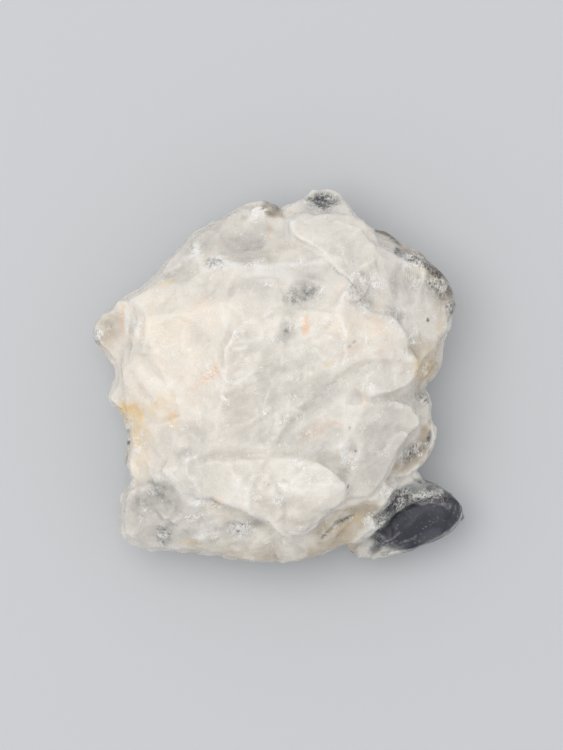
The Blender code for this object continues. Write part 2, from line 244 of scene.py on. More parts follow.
TAN = (
    Field(((4.3, -21.9), (7.4, -18.5), (13.0, -18.2), (12.8, -20.8), (10, -22.8), (3, -25)), 0.76, 0.7),
    Field(((9.2, -16.9), (13.6, -16.1), (13.8, -18.2), (7.6, -18.2)), 0.85, 0.4),
    Field(((17.4, 4.6), (22.6, 5.2), (22, 1), (20, -1.8), (17.6, -1.4), (18.9, 1)), 0.52, 0.7),
    Field(((15, -11.8), (18.2, -8.8), (19.6, -6.6), (20.8, -6), (20, -10.6), (17, -13.4)), 0.85, 0.6),
    Field(((13.0, 20.0), (15.0, 19.4), (17.8, 17.4), (20.4, 16.0), (22.6, 13.6), (23.9, 11.0),
           (22.4, 11.6), (20.6, 14.4), (17.4, 16.6), (14.6, 18.6)), 0.9, 0.7),
    Oval(22.2, 10.4, 1.8, 3.0, -10, 0.55),
    Oval(20.6, 15.8, 3.4, 0.9, -35, 0.8, 0.6),
    Oval(-22.9, 6.4, 1.9, 2.8, 10, 0.64),
    Oval(22.0, 13.0, 1.4, 1.6, -40, 0.75),
    Field(((-2.0, 24.0), (1.2, 23.6), (0.9, 21.2), (-1.0, 20.6), (-2.4, 22.0)), 0.95, 0.4),
    Oval(-20.6, -8.2, 1.0, 2.0, 20, 0.45),
    # Painted shade: the bottom slab, dulled towards putty.
    Field(((-12, -23.0), (-6, -22.6), (0, -21.8), (3, -23.8), (0, -25.5), (-10, -25)), 0.4, 1.2),
    Oval(-0.5, 16.6, 3.0, 1.2, 5, 0.25),
    Oval(-6.6, -18.6, 1.2, 0.9, -20, 0.5, 0.7),
    Oval(-12.6, -17.4, 1.0, 0.9, 0, 0.4, 0.7),
    Oval(2.0, -17.6, 3.6, 1.8, 0, 0.15),
    Oval(7.0, -22.8, 3.4, 1.2, 10, 0.35, 0.7),
)

OCHRE = (
    Streak(((-21.5, -4.4), (-20.0, -4.4), (-18.8, -3.8), (-17.9, -5.0)), 0.35, 0.8),
    Streak(((-18.1, -5.2), (-17.8, -6.6), (-18.8, -8.2)), 0.4, 0.25),
    Oval(-19.5, -6.2, 2.4, 2.4, 10, 0.75, 0.95),
    Oval(-16.4, -3.8, 2.4, 1.0, 30, 0.3, 0.9),
    Oval(-13.7, -5.6, 0.8, 1.0, -30, 0.25, 0.9),
    Oval(-14.4, 12.4, 1.1, 0.4, 25, 0.25, 0.9),
    Oval(-11.4, -22.1, 1.1, 0.4, -10, 0.25, 0.9),
    Oval(21.9, 6.4, 0.4, 0.7, 0, 0.5),
    Oval(19.6, 1.6, 1.2, 2.4, -10, 0.4),
    Streak(((18.7, 1.6), (18.9, 0.6), (18.3, -0.2)), 0.22, 0.4),
    Streak(((6.2, 1.2), (7.5, 1.9)), 0.3, 0.25),
    Oval(9.5, -19.5, 2.4, 0.8, 15, 0.35),
    Oval(-18.2, -11.4, 1.2, 2.0, -10, 0.1),
)

PEACH = (
    Oval(3.9, 6.5, 0.42, 1.2, -8, 0.8),
    Oval(-10.0, -0.8, 1.1, 0.6, 25, 0.4, 0.9),
    Oval(-8.3, 0.5, 0.7, 0.6, 0, 0.35, 0.9),
    Oval(-8.2, 0.7, 0.3, 0.25, 0, 0.5, 0.6),
    Oval(-9.3, -0.4, 0.25, 0.2, 0, 0.5, 0.6),
    Oval(-13.7, -5.6, 0.5, 0.7, -30, 0.22, 0.9),
    Oval(-10.6, 9.4, 1.6, 0.7, 20, 0.12, 0.9),
    Streak(((-20.5, 10.4), (-20.4, 8.6), (-20.5, 6.4)), 0.2, 0.28),
    Streak(((11.3, -3.0), (11.7, -3.8)), 0.14, 0.45),
    Streak(((6.9, -5.7), (8.3, -6.4)), 0.14, 0.5),
    Oval(5.0, -7.6, 2.0, 1.0, 40, 0.16, 0.9),
    Oval(-7.5, -16.4, 0.8, 0.4, 20, 0.35, 0.9),
    Streak(((-0.9, 19.8), (-0.7, 18.4)), 0.2, 0.25),
    Oval(8.8, 11.2, 0.6, 1.0, 20, 0.3, 0.9),
    Oval(13.6, 6.0, 0.5, 2.6, 3, 0.22, 0.9),
    Oval(18.8, 14.4, 1.4, 0.3, -30, 0.12, 0.9),
    Oval(9.8, 3.4, 1.6, 0.5, 20, 0.14, 0.9),
)

# Frost marks, among them painted glints, a painted highlight and a painted light rim along the flake.
FROST_AND_GLINTS = (
    Field(((-1.1, -10.8), (3.8, -10.8), (7.0, -12.3), (9.1, -14.1), (9.3, -15.2), (7.8, -16.3),
           (6.2, -17.0), (2.5, -16.0), (0.6, -14.7), (-1.1, -13.3)), 0.18, 0.6),
    # Painted highlight on the tongue.
    Oval(2.7, -15.2, 1.4, 0.5, -35, 0.8, 0.6),
    Oval(-4.8, -15.6, 3.2, 1.2, -25, 0.5, 0.7),
    Streak(((-14.4, -13.0), (-13.0, -14.6), (-11.4, -16.2)), 0.6, 0.9),
    Streak(((-6.6, -17.1), (-4.2, -18.4), (-1.8, -18.9), (-0.5, -20.3), (1.7, -21.4)), 0.2, 0.55),
    Streak(((3.5, -20.8), (5.7, -19.5), (7.0, -18.1), (8.9, -17.3), (10.2, -16.4), (13.1, -16.2)),
           0.16, 0.5),
    Streak(((1.4, 20.8), (1.8, 18.0), (5.3, 16.3), (8.5, 14.0), (9.8, 12.6)), 0.26, 0.95),
    Oval(1.9, 19.4, 0.4, 1.2, 10, 0.7, 0.6),
    Oval(4.4, 18.4, 3.2, 1.8, -28, 0.3, 0.7),
    Streak(((-10.0, 14.2), (-6.0, 14.4), (-1.0, 14.4), (3.0, 14.8), (5.6, 15.0)), 0.4, 0.85),
    Oval(-1.5, 13.5, 4.4, 0.9, 0, 0.75, 0.7),
    Oval(-7.2, 15.6, 1.0, 0.45, 20, 0.9, 0.5),
    Streak(((-12.4, 15.6), (-10.6, 16.0), (-9.8, 14.6)), 0.35, 0.7),
    Oval(8.8, 11.4, 1.2, 0.9, -30, 0.6, 0.6),
    Oval(13.5, 12.6, 1.8, 1.2, 0, 0.45),
    Oval(16.8, 9.6, 2.2, 1.4, 20, 0.5),
    Oval(15.6, 6.0, 1.0, 2.0, 10, 0.4),
    Streak(((15.2, 16.2), (17.2, 14.7), (19.5, 13.4)), 0.3, 0.6),
    Oval(8.0, 22.0, 1.0, 0.5, 20, 0.7, 0.6),
    Oval(-3.0, 21.4, 1.0, 0.8, 0, 0.8, 0.6),
    Streak(((-20.0, 8.8), (-19.8, 7.4), (-19.9, 5.8)), 0.32, 0.9),
    Oval(-17.6, 9.8, 1.8, 1.1, 30, 0.4),
    Oval(-12.0, 10.0, 3.2, 1.8, 25, 0.3),
    Oval(-14.6, -1.2, 1.9, 0.9, -10, 0.75, 0.7),
    Oval(-18.6, 3.5, 0.7, 0.4, 0, 0.6, 0.6),
    Oval(-16.2, 3.2, 0.7, 0.4, 20, 0.7, 0.6),
    Oval(-11.8, 3.5, 0.6, 0.3, 20, 0.7, 0.6),
    Oval(-8.8, -4.8, 2.2, 1.4, 20, 0.55),
    Streak(((-7.4, 0.9), (-6.9, -0.5), (-5.5, -1.0), (-4.0, -0.2), (-2.9, 0.5)), 0.24, 0.95),
    Oval(-5.0, 0.0, 1.2, 0.5, 30, 0.4, 0.7),
    Streak(((-5.3, 3.6), (-3.9, 4.0)), 0.2, 0.9),
    Streak(((-1.8, 7.8), (-0.5, 8.4)), 0.18, 0.9),
    Oval(6.6, 7.7, 0.5, 0.35, 0, 0.8, 0.6),
    Streak(((7.5, 6.0), (9.4, 6.1)), 0.16, 0.8),
    Streak(((4.9, 5.0), (5.9, 4.3)), 0.18, 0.8),
    Streak(((5.2, 3.7), (6.2, 2.1)), 0.18, 0.8),
    Streak(((0.7, 2.4), (0.7, 1.3)), 0.2, 0.7),
    Oval(-0.1, -5.7, 0.3, 0.8, -10, 0.95, 0.5),
    Streak(((2.2, -4.4), (3.5, -4.8)), 0.18, 0.9),
    Streak(((1.7, -3.2), (1.3, -4.8)), 0.14, 0.7),
    Oval(12.9, -1.9, 1.1, 0.7, 10, 0.85, 0.6),
    Oval(15.5, 1.3, 0.8, 0.6, 0, 0.55, 0.7),
    # Painted glint.
    Oval(16.2, -4.2, 0.9, 0.3, -10, 0.95, 0.5),
    Streak(((16.6, 3.2), (18.2, 2.1), (18.6, 1.1), (17.7, -0.3), (16.6, -1.6)), 0.18, 0.4),
    Streak(((12.6, -2.9), (16.4, -3.0), (18.4, -4.2), (19.3, -5.6)), 0.16, 0.5),
    Streak(((19.2, -6.9), (17.2, -9.2), (15.2, -12.0), (14.4, -14.0)), 0.18, 0.4),
    Oval(9.6, -9.6, 0.9, 2.2, 5, 0.5, 0.7),
    Oval(-9.7, -20.8, 1.1, 0.9, 35, 0.85, 0.6),
    Oval(-11.0, -17.6, 1.0, 0.8, 0, 0.6, 0.6),
    Oval(-8.4, -19.4, 1.8, 1.1, 15, 0.4),
    Oval(-12.4, -20.0, 1.4, 0.5, 40, 0.5, 0.7),
    Oval(12.0, -20.6, 1.1, 0.7, 30, 0.9, 0.6),
    Oval(13.6, -18.6, 1.0, 0.5, 45, 0.5, 0.7),
    Oval(16.2, -14.4, 1.4, 0.7, 0, 0.4),
    Streak(((14.1, -22.4), (15.0, -21.7), (16.2, -21.1)), 0.1, 0.8),
    Streak(((14.6, -22.6), (15.6, -22.0)), 0.07, 0.6),
    Streak(((16.2, -22.5), (17.4, -21.9), (18.6, -21.2)), 0.09, 0.75),
    Streak(((16.8, -22.7), (17.8, -22.2)), 0.06, 0.5),
    # Painted glints in the flake's upper zone.
    Streak(((18.6, -15.3), (19.8, -15.2)), 0.14, 0.6),
    Streak(((20.2, -15.4), (22.0, -15.2)), 0.16, 0.65),
    Streak(((18.3, -17.1), (19.5, -17.5), (20.5, -16.9), (22.1, -17.1), (23.4, -17.6)), 0.12, 0.6),
    # Painted light rim along the flake's outer edges.
    Streak(((24.9, -18.0), (24.6, -19.2), (23.3, -20.4), (22.0, -21.4), (19.6, -22.6), (17.0, -23.4),
            (15.0, -24.0)), 0.15, 0.8),
    Streak(((24.8, -18.0), (24.4, -16.7), (23.2, -15.5), (21.9, -14.6)), 0.14, 0.5),
    Oval(18.4, -13.5, 1.3, 1.1, 0, 0.7),
    Oval(11.8, -23.2, 1.0, 1.2, 20, 0.3),
)

CLEAR = (
    SMOKE,
    FLAKE,
    HEEL,
    Oval(20.4, -16.6, 2.0, 0.5, -5, 0.5, 0.6),
    Oval(13.8, -22.6, 1.6, 0.5, 30, 0.5, 0.7),
    Oval(15.4, -17.2, 1.0, 0.6, 50, 0.4, 0.7),
    Oval(18.6, -13.7, 0.5, 0.4, 0, 0.4, 0.6),
    Oval(23.8, -17.2, 1.0, 1.7, 20, 0.75),
    Oval(6.2, 23.3, 2.3, 1.3, 0, 0.68),
    Streak(((15.9, 16.7), (18.1, 15.6), (20.2, 14.5), (21.5, 13.5)), 0.55, 0.55),
    Field(((13.1, 19.7), (14.5, 19.4), (15.6, 18.5), (16.7, 17.7), (17.7, 17.1), (16.5, 17.3),
           (14.9, 18.1), (13.1, 19.0)), 0.6, 0.4),
    Field(((17.3, 16.9), (18.9, 16.7), (20.2, 15.7), (21.4, 14.8), (22.4, 13.8), (23.6, 12.0),
           (23.9, 10.6), (23.0, 11.0), (21.4, 13.8), (19.6, 15.4)), 0.5, 0.6),
    Oval(21.6, 11.8, 2.4, 1.6, -50, 0.48, 0.9),
    Oval(23.3, 8.9, 0.6, 1.2, 0, 0.5),
    Field(((0.9, 13.2), (3.0, 13.6), (4.4, 13.2), (6.8, 14.4), (6.2, 11.6), (4.8, 9.8),
           (2.2, 9.2), (0.2, 10.2), (1.6, 11.4)), 0.2, 1.2),
    Oval(3.6, 11.2, 2.0, 1.3, 25, 0.28, 0.95),
    Oval(2.8, 10.0, 1.6, 0.7, 20, 0.16, 0.9),
    Field(((1.4, 8.8), (2.8, 8.6), (2.4, 6.6), (2.9, 4.6), (1.2, 3.4), (0.2, 4.6), (0.8, 6.8)),
          0.27, 1.0),
    Oval(-1.9, 11.1, 1.2, 0.8, 0, 0.12, 0.9),
    Field(((9.8, 14.8), (12.4, 14.2), (13.2, 11.0), (12.8, 9.0), (10.4, 9.8), (8.6, 12.4)),
          0.15, 1.2),
    Oval(11.4, 10.2, 1.8, 0.7, -30, 0.24, 0.95),
    Field(((14.4, 9.4), (17.4, 8.8), (17.0, 7.4), (15.4, 7.0), (14.2, 8.0)), 0.32, 1.0),
    Oval(20.6, 0.6, 1.2, 2.0, -28, 0.14, 0.95),
    Field(((-7.0, 16.9), (-5.0, 19.3), (-1.7, 19.2), (-2.2, 18.1), (-5.8, 15.8)), 0.2, 0.6),
    Oval(-7.8, 14.8, 1.3, 0.6, 0, 0.5, 0.7),
    Oval(-9.6, 18.6, 3.6, 1.6, 38, 0.12),
    Field(((-1.9, 23.6), (0.6, 23.2), (0.7, 21.4), (-1.0, 20.9), (-2.2, 22.0)), 0.36, 0.4),
    Field(((-18.4, -15.2), (-16.6, -13.8), (-14.4, -13.6), (-12.6, -15.8), (-12.0, -18.4),
           (-14.4, -20.4), (-17.0, -19.4), (-19.2, -17.4)), 0.2, 1.0),
    Oval(-15.8, -15.0, 1.9, 0.9, -35, 0.32, 0.9),
    Oval(-17.9, -16.6, 1.2, 1.0, -40, 0.26, 0.9),
    Oval(-15.0, -21.2, 0.8, 1.0, 30, 0.3),
    Field(((-15.6, -19.8), (-13.8, -20.0), (-14.0, -22.8), (-15.6, -22.6)), 0.24, 0.8),
    Oval(-4.9, -20.2, 2.2, 1.2, 10, 0.34, 0.9),
    Oval(-2.6, -19.5, 0.9, 0.6, -10, 0.24),
    Oval(-8.2, -21.8, 0.9, 0.5, 30, 0.2, 0.7),
    Oval(-9.6, -20.9, 0.9, 0.8, 0, 0.24, 0.7),
    Oval(-11.8, -10.2, 1.2, 0.6, 0, 0.3),
    Oval(5.4, -9.4, 2.8, 1.2, 10, 0.22),
    Oval(18.1, -10.1, 2.2, 1.1, 38, 0.46, 0.9),
    Oval(19.6, -2.8, 1.2, 0.5, -25, 0.42, 0.6),
    Oval(20.4, -7.9, 0.35, 0.9, -10, 0.5, 0.6),
    Oval(-20.4, -8.0, 0.8, 1.8, 15, 0.3, 0.9),
    Oval(-20.2, -11.2, 0.5, 1.0, 0, 0.42, 0.6),
    Oval(-22.3, 7.0, 0.8, 0.5, 0, 0.3, 0.7),
    Oval(-24.0, 5.0, 0.6, 1.0, 20, 0.42, 0.6),
    Streak(((5.9, -21.6), (7.8, -19.6), (10.2, -18.7)), 0.25, 0.4),
    Oval(9.0, -19.4, 1.2, 0.4, 30, 0.15, 0.7),
    Streak(((-1.6, -14.1), (-0.7, -14.5)), 0.1, 0.35),
    Streak(((0.7, -13.4), (1.7, -14.0)), 0.1, 0.35),
    Streak(((-3.0, -16.0), (-1.7, -16.6)), 0.09, 0.3),
    Streak(((1.4, 20.4), (1.9, 18.0), (4.6, 16.2)), 0.1, 0.3),
    Streak(((7.6, 14.2), (9.4, 12.6), (10.2, 11.6)), 0.12, 0.4),
    Streak(((2.2, 6.4), (1.2, 6.2)), 0.09, 0.25),
    Streak(((1.6, 5.8), (0.8, 5.7)), 0.09, 0.25),
    Streak(((2.6, -21.4), (4.4, -20.6), (6.0, -19.0), (7.2, -18.2)), 0.1, 0.3),
)

BUSY = (
    Oval(6.0, 23.0, 2.4, 1.4, 0, 0.9, 0.6),
    Oval(-2.8, 21.6, 1.4, 1.0, 0, 0.8, 0.7),
    Oval(18.4, 15.2, 3.4, 0.9, -28, 1.0, 0.6),
    Oval(21.4, 11.8, 1.8, 1.8, -40, 0.7, 0.7),
    Oval(23.2, 8.9, 0.8, 1.4, 0, 0.95, 0.6),
    Oval(4.4, 10.6, 2.6, 1.4, 20, 0.5),
    Oval(1.9, 6.0, 1.2, 2.2, -10, 0.3),
    Oval(10.8, 12.6, 1.6, 2.4, -15, 0.6),
    Oval(10.8, 9.9, 2.2, 0.8, -35, 0.9, 0.7),
    Oval(14.6, 12.6, 3.4, 1.6, -20, 0.5),
    Oval(15.4, 8.4, 1.6, 1.0, 0, 0.7, 0.7),
    Oval(-10.4, 16.4, 1.6, 0.9, -30, 0.8, 0.7),
    Oval(-8.0, 15.0, 1.6, 0.9, 0, 0.9, 0.6),
    Oval(-1.0, 14.6, 4.0, 0.6, 2, 0.5, 0.7),
    Oval(-17.0, -16.2, 2.4, 2.4, 0, 0.3),
    Oval(-14.8, -21.0, 1.2, 1.6, 20, 0.7, 0.7),
    Oval(-11.0, -18.6, 1.4, 1.2, 0, 0.7, 0.7),
    Oval(-8.8, -21.0, 1.8, 1.4, 20, 0.9, 0.6),
    Oval(-5.0, -20.2, 1.6, 1.1, 10, 0.9, 0.6),
    Oval(-9.0, -16.8, 2.6, 0.6, -10, 0.6, 0.7),
    Streak(((-14.4, -13.0), (-13.0, -14.6), (-11.0, -16.4), (-8.0, -16.8)), 0.6, 0.6),
    Oval(9.6, -10.4, 0.9, 3.0, 5, 0.85, 0.7),
    Oval(18.0, -10.2, 2.2, 1.0, 38, 0.8, 0.7),
    Oval(20.4, 0.8, 1.2, 2.2, -28, 0.4, 0.7),
    Oval(19.6, -3.0, 1.2, 0.6, -25, 0.8, 0.6),
    Oval(15.6, -15.8, 1.8, 2.0, 30, 0.9, 0.7),
    Oval(13.0, -19.6, 1.8, 1.2, 45, 0.9, 0.6),
    Oval(20.4, -16.0, 2.8, 0.9, -5, 0.8, 0.6),
    Oval(8.6, -19.6, 2.2, 0.7, 30, 0.7, 0.7),
    Oval(-20.0, -7.6, 1.4, 2.4, 15, 0.8),
    Oval(-9.2, 0.6, 1.8, 1.6, 30, 0.6, 0.7),
    Oval(0.5, -5.0, 3.0, 1.2, 0, 0.12),
    Oval(15.8, -4.0, 1.6, 0.6, -10, 0.8, 0.6),
    Oval(-23.6, 5.0, 0.8, 1.2, 20, 0.7, 0.7),
    Oval(-19.4, 8.0, 0.8, 2.4, 0, 0.6, 0.7),
    Oval(1.0, -14.2, 1.0, 0.6, -30, 0.9, 0.6),
    Oval(-2.4, -15.8, 1.8, 0.6, -25, 0.7, 0.7),
    Oval(12.6, -1.6, 2.4, 1.0, 0, 0.5),
    Oval(17.6, 4.6, 1.6, 1.8, 20, 0.5),
)

GRIT = (
    Oval(10.2, 4.5, 0.16, 0.12, 0, 0.45, 0.4),
    Oval(9.5, 3.7, 0.16, 0.12, 0, 0.4, 0.4),
    Oval(9.5, -14.7, 0.16, 0.2, 0, 0.9, 0.4),
    Oval(20.0, 7.4, 0.14, 0.2, 0, 0.8, 0.4),
    Oval(10.5, -10.0, 0.12, 0.2, 0, 0.7, 0.4),
    Oval(9.8, -6.9, 0.12, 0.2, 0, 0.5, 0.4),
    Oval(20.2, -8.2, 0.2, 0.25, 0, 0.8, 0.4),
    Oval(-20.0, -9.2, 0.3, 0.25, 0, 0.9, 0.4),
    Oval(-21.0, -5.8, 0.25, 0.4, 0, 0.6, 0.6),
    Oval(-19.9, -7.4, 0.5, 0.3, 30, 0.5, 0.6),
    Oval(-5.3, -20.7, 0.22, 0.14, 0, 1.0, 0.4),
    Streak(((5.9, -21.6), (7.8, -19.5), (10.2, -18.7)), 0.1, 0.25),
    Oval(16.0, -16.1, 0.3, 0.2, -40, 0.7, 0.5),
    Oval(17.0, -16.0, 0.25, 0.35, -30, 0.7, 0.5),
)

MARKS = {
    Layer.CREAM: CREAM,
    Layer.GREY: GREY,
    Layer.TAN: TAN,
    Layer.OCHRE: OCHRE,
    Layer.PEACH: PEACH,
    Layer.FROST_AND_GLINTS: FROST_AND_GLINTS,
    Layer.CLEAR: CLEAR,
    Layer.BUSY: BUSY,
    Layer.GRIT: GRIT,
}

# The grey and tan layers also carry some painted shade.
STAINS_AND_SHADE = (Layer.CREAM, Layer.GREY, Layer.TAN, Layer.OCHRE, Layer.PEACH)
BROAD_STAINS_AND_SHADE = (Layer.CREAM, Layer.GREY, Layer.TAN)


def linear(code: str) -> tuple[float, float, float, float]:
    """Turns an sRGB hex colour into the linear colour that nodes take.

    Args:
        code: Six hex digits with a leading hash.

    Returns:
        Linear red, green, blue and an alpha of 1.
    """
    values = [int(code[i : i + 2], 16) / 255.0 for i in (1, 3, 5)]
    bent = [v / 12.92 if v <= 0.04045 else ((v + 0.055) / 1.055) ** 2.4 for v in values]
    return (*bent, 1.0)


class Net:
    """A material's nodes, with what its parts share: the place in millimetres and the layers."""

    def __init__(self, tree: bpy.types.NodeTree) -> None:
        """Starts the nodes afresh.

        Args:
            tree: The material's node tree.
        """
        self.tree = tree
        tree.nodes.clear()
        at = self.add("TexCoord", out="Object")
        self.place = self.add("Mapping", {"Vector": at, "Scale": (1.0 / MM,) * 3})
        self.layers = {
            layer: self.add("Attribute", out="Fac", attribute_name=layer.value) for layer in Layer
        }

    def add(
        self, kind: str, inputs: dict | tuple = (), out: int | str = 0, **settings
    ) -> Socket | None:
        """Adds a node with its settings and links.

        Args:
            kind: The node's type, without the leading ShaderNode.
            inputs: What the inputs get, each a socket to link or a plain value. A tuple gives
                them in the node's own order, and a dictionary by name or number.
            out: The name or number of the output that is wanted.
            settings: The node's own settings, by name.

        Returns:
            The wanted output, or None for a node that has no outputs.
        """
        node = self.tree.nodes.new("ShaderNode" + kind)
        for name, value in settings.items():
            setattr(node, name, value)
        for name, value in inputs.items() if isinstance(inputs, dict) else enumerate(inputs):
            if isinstance(value, Socket):
                self.tree.links.new(value, node.inputs[name])
            else:
                node.inputs[name].default_value = value
        return node.outputs[out] if node.outputs else None


@dataclass(frozen=True)
class Run:
    """How a set of strokes runs.

    The direction seen from above and the lean into the stone are in degrees. A stroke starts
    where its pattern reaches the least level.
    """

    turn: float
    lean: float
    least: float


@dataclass(frozen=True)
class MilkyPetalite:
    """Petalite with milky, frosted and clear zones, broken by hand.

    Petalite's refractive index is 1.504. Its cleavage faces are pearly to glassy and its curved
    breaks waxy. Fine fractures inside scatter the light and turn the clear mineral milky, so the
    eye sees soft clouds with short crisp white and dark strokes in a faintly grey, glowing body.

    A span maps its first two values to its last two, or to 0 and 1 where it has only two. The stain
    colours, two of which also give painted shade, follow the order of STAINS_AND_SHADE.
    """

    name: str = "milky_petalite"
    milk: str = "#e7e2d9"
    pearl: str = "#dad5cb"
    stains_and_shade: tuple[str, ...] = ("#eee4d5", "#cac6be", "#beb29f", "#e3c792", "#efc8a4")
    # Frosty white, also the colour of the painted glints and highlights.
    frost_and_glint: str = "#faf8f3"
    grit: str = "#4a3f34"
    shade: str = "#6a6968"
    pane_ends: tuple = ((0.15, "#c4c1ba"), (1.0, "#545568"))
    pane_steps: tuple = ((0.4, "#a7a6a0"), (0.65, "#828482"), (0.85, "#62626a"))
    warm_pane: str = "#8d8474"
    warm_share: float = 0.85
    inner_tint: str = "#c9c9d2"
    inner_density: float = 60.0
    refraction: float = 1.504
    glow: float = 0.95
    glow_mm: float = 2.4
    glow_spread: tuple[float, ...] = (1.0, 0.92, 0.82)
    glassy: float = 0.13
    smoky: float = 0.48
    frosted: float = 0.60
    waxy_span: Span = (0.35, 0.65, 0.18, 0.44)
    glassy_span: Span = (0.25, 0.8)
    smoky_span: Span = (0.8, 0.96)
    patch_mm: float = 1.43
    mottle_mm: float = 4.0
    mottle_span: Span = (0.36, 0.68, 0.0, 0.6)
    face_lifts: tuple[float, float] = (0.45, 0.3)
    face_mm: float = 2.6
    chip_mm: float = 1.1
    tear_reach: float = 0.9
    tear_pace: float = 1.2
    crack_mm: float = 0.07
    crack_core: float = 0.3
    crack_span: Span = (0.34, 0.46, 0.0, 0.7)
    sway_mm: float = 4.5
    sway_reach_mm: float = 2.4
    cluster_mm: float = 1.9
    cluster_crowd: float = 0.6
    busy_crowd: float = 0.17
    stroke_mm: float = 0.18
    stroke_stretch: float = 0.16
    stroke_turn: float = 3.4
    stroke_edge: float = 0.07
    white_and_glint_runs: tuple[Run, Run] = (Run(-38.0, 20.0, 0.97), Run(40.0, -15.0, 0.99))
    dark_run: Run = Run(64.0, -20.0, 0.92)
    dark_span: Span = (0.0, 0.7, 0.1, 0.42)
    pane_span: Span = (0.02, 0.55)
    clear_span: Span = (0.45, 1.0, 0.0, 0.85)
    crackle_mm: float = 0.36
    crackle_span: Span = (0.3, 0.7, -0.6, 0.6)
    fray: tuple[float, float] = (0.75, 0.06)
    chip_span: Span = (0.15, 0.85, -0.08, 0.08)
    rising_span: Span = (0.02, 0.32)
    calming_span: Span = (0.76, 0.96, 1.0, 0.35)
    frost_and_glint_pattern: tuple[float, float] = (0.55, 0.45)
    ridge_span: Span = (0.65, 1.2, 0.0, 0.26)
    fading_span: Span = (0.1, 0.9, 0.85, 0.3)
    speck_mm: float = 0.12
    speck_core: float = 0.2
    speck_apart_mm: float = 0.55
    speck_most: float = 0.6
    speck_span: Span = (0.8, 0.92)
    dust_mm: float = 0.13
    dust_span: Span = (0.3, 0.7, 0.915, 1.075)
    facet_mm: float = 0.8
    facet_height: float = 0.55
    facet_busy: tuple[float, float] = (0.85, 0.15)
    ledge_mm: float = 1.1
    ledge_height: float = 0.07
    ledge_strength: float = 0.35
    stroke_height: float = 0.05
    stroke_strength: float = 0.5
    grain_mm: float = 0.3
    grain_height: float = 0.05
    grain_strength: float = 0.6

    def build(self) -> bpy.types.Material:
        """Makes the material.

        Returns:
            The finished material.
        """
        material = bpy.data.materials.new(self.name)
        material.use_nodes = True
        net = Net(material.node_tree)
        bent = self.bent_place(net)
        face, chip, crack = self.broken_faces(net)
        combed = self.combed_place(net, bent, face)
        crowd = self.crowding(net)
        white = self.white_strokes_and_glints(net, combed, crowd, crack)
        dark = self.strokes(net, combed, crowd, self.dark_run)
        depth = self.pane_depth(net, chip)
        # Frost, white fractures and specks, with painted glints and painted edge highlights among them.
        frosts_and_glints = (self.frost_and_glint_share(net, white, depth), self.specks(net, depth))
        frost_and_glint = net.add("Math", frosts_and_glints, operation="MAXIMUM")
        body = self.body_colour(net, (face, chip))
        surface = {
            "Base Color": self.dusted(net, self.dressed_colour(net, body, dark, frost_and_glint, depth)),
            "Roughness": self.roughness(net, bent, frost_and_glint, depth),
            "IOR": self.refraction,
            "Transmission Weight": self.clarity(net, frost_and_glint, depth),
            "Subsurface Weight": self.glow,
            "Subsurface Radius": self.glow_spread,
            "Subsurface Scale": self.glow_mm * MM,
            "Normal": self.relief(net, bent, white),
        }
        inside = {"Color": linear(self.inner_tint), "Density": self.inner_density}
        ends = {
            "Surface": net.add("BsdfPrincipled", surface),
            "Volume": net.add("VolumeAbsorption", inside),
        }
        net.add("OutputMaterial", ends)
        return material

    def bent_place(self, net: Net) -> Socket:
        """The place on the stone, swayed slowly so that straight strokes curve a little.

        Args:
            net: The material's nodes.

        Returns:
            The swayed place, in millimetres.
        """
        drift = net.add("TexNoise", {"Vector": net.place, "Scale": 1.0 / self.sway_mm}, out="Color")
        far = (drift, (self.sway_reach_mm,) * 3, net.place)
        return net.add("VectorMath", far, operation="MULTIPLY_ADD")

    def broken_faces(self, net: Net) -> tuple[Socket, Socket, Socket]:
        """Small broken faces with crisp wandering edges.

        Args:
            net: The material's nodes.

        Returns:
            A value from 0 to 1 for each large face, one for each small face, and 1 on the cracks
            between the small faces.
        """
        found = []
        for size in (self.face_mm, self.chip_mm):
            pace = self.tear_pace / size
            tear = {"Vector": net.place, "Scale": pace, "Detail": 4.0, "Roughness": 0.65}
            drift = net.add("TexNoise", tear, out="Color")
            reach = (self.tear_reach * size,) * 3
            torn = net.add("VectorMath", (drift, reach, net.place), operation="MULTIPLY_ADD")
            cells = {"Vector": torn, "Scale": 1.0 / size}
            found.append(net.add("TexVoronoi", cells, out="Color"))
        edge = net.add("TexVoronoi", cells, out="Distance", feature="DISTANCE_TO_EDGE")
        width = self.crack_mm / self.chip_mm
        crack = net.add("MapRange", (edge, self.crack_core * width, width, 1.0, 0.0))
        return found[0], found[1], crack

    def combed_place(self, net: Net, bent: Socket, face: Socket) -> Socket:
        """The swayed place, turned for each large face so that its strokes run their own way."""
        angle = net.add("Math", (face, self.stroke_turn), operation="MULTIPLY")
        return net.add("VectorRotate", {"Vector": bent, "Angle": angle}, rotation_type="Z_AXIS")

    def crowding(self, net: Net) -> Socket:
        """How closely the strokes crowd: in clusters everywhere, and more so in busy places.

        Args:
            net: The material's nodes.

        Returns:
            A level that is higher where they crowd.
        """
        clusters = {"Vector": net.place, "Scale": 1.0 / self.cluster_mm, "Detail": 2.0}
        cluster = net.add("TexNoise", clusters)
        busy = net.layers[Layer.BUSY]
        much = net.add("Math", (busy, self.busy_crowd), operation="MULTIPLY")
        return net.add("Math", (cluster, self.cluster_crowd, much), operation="MULTIPLY_ADD")

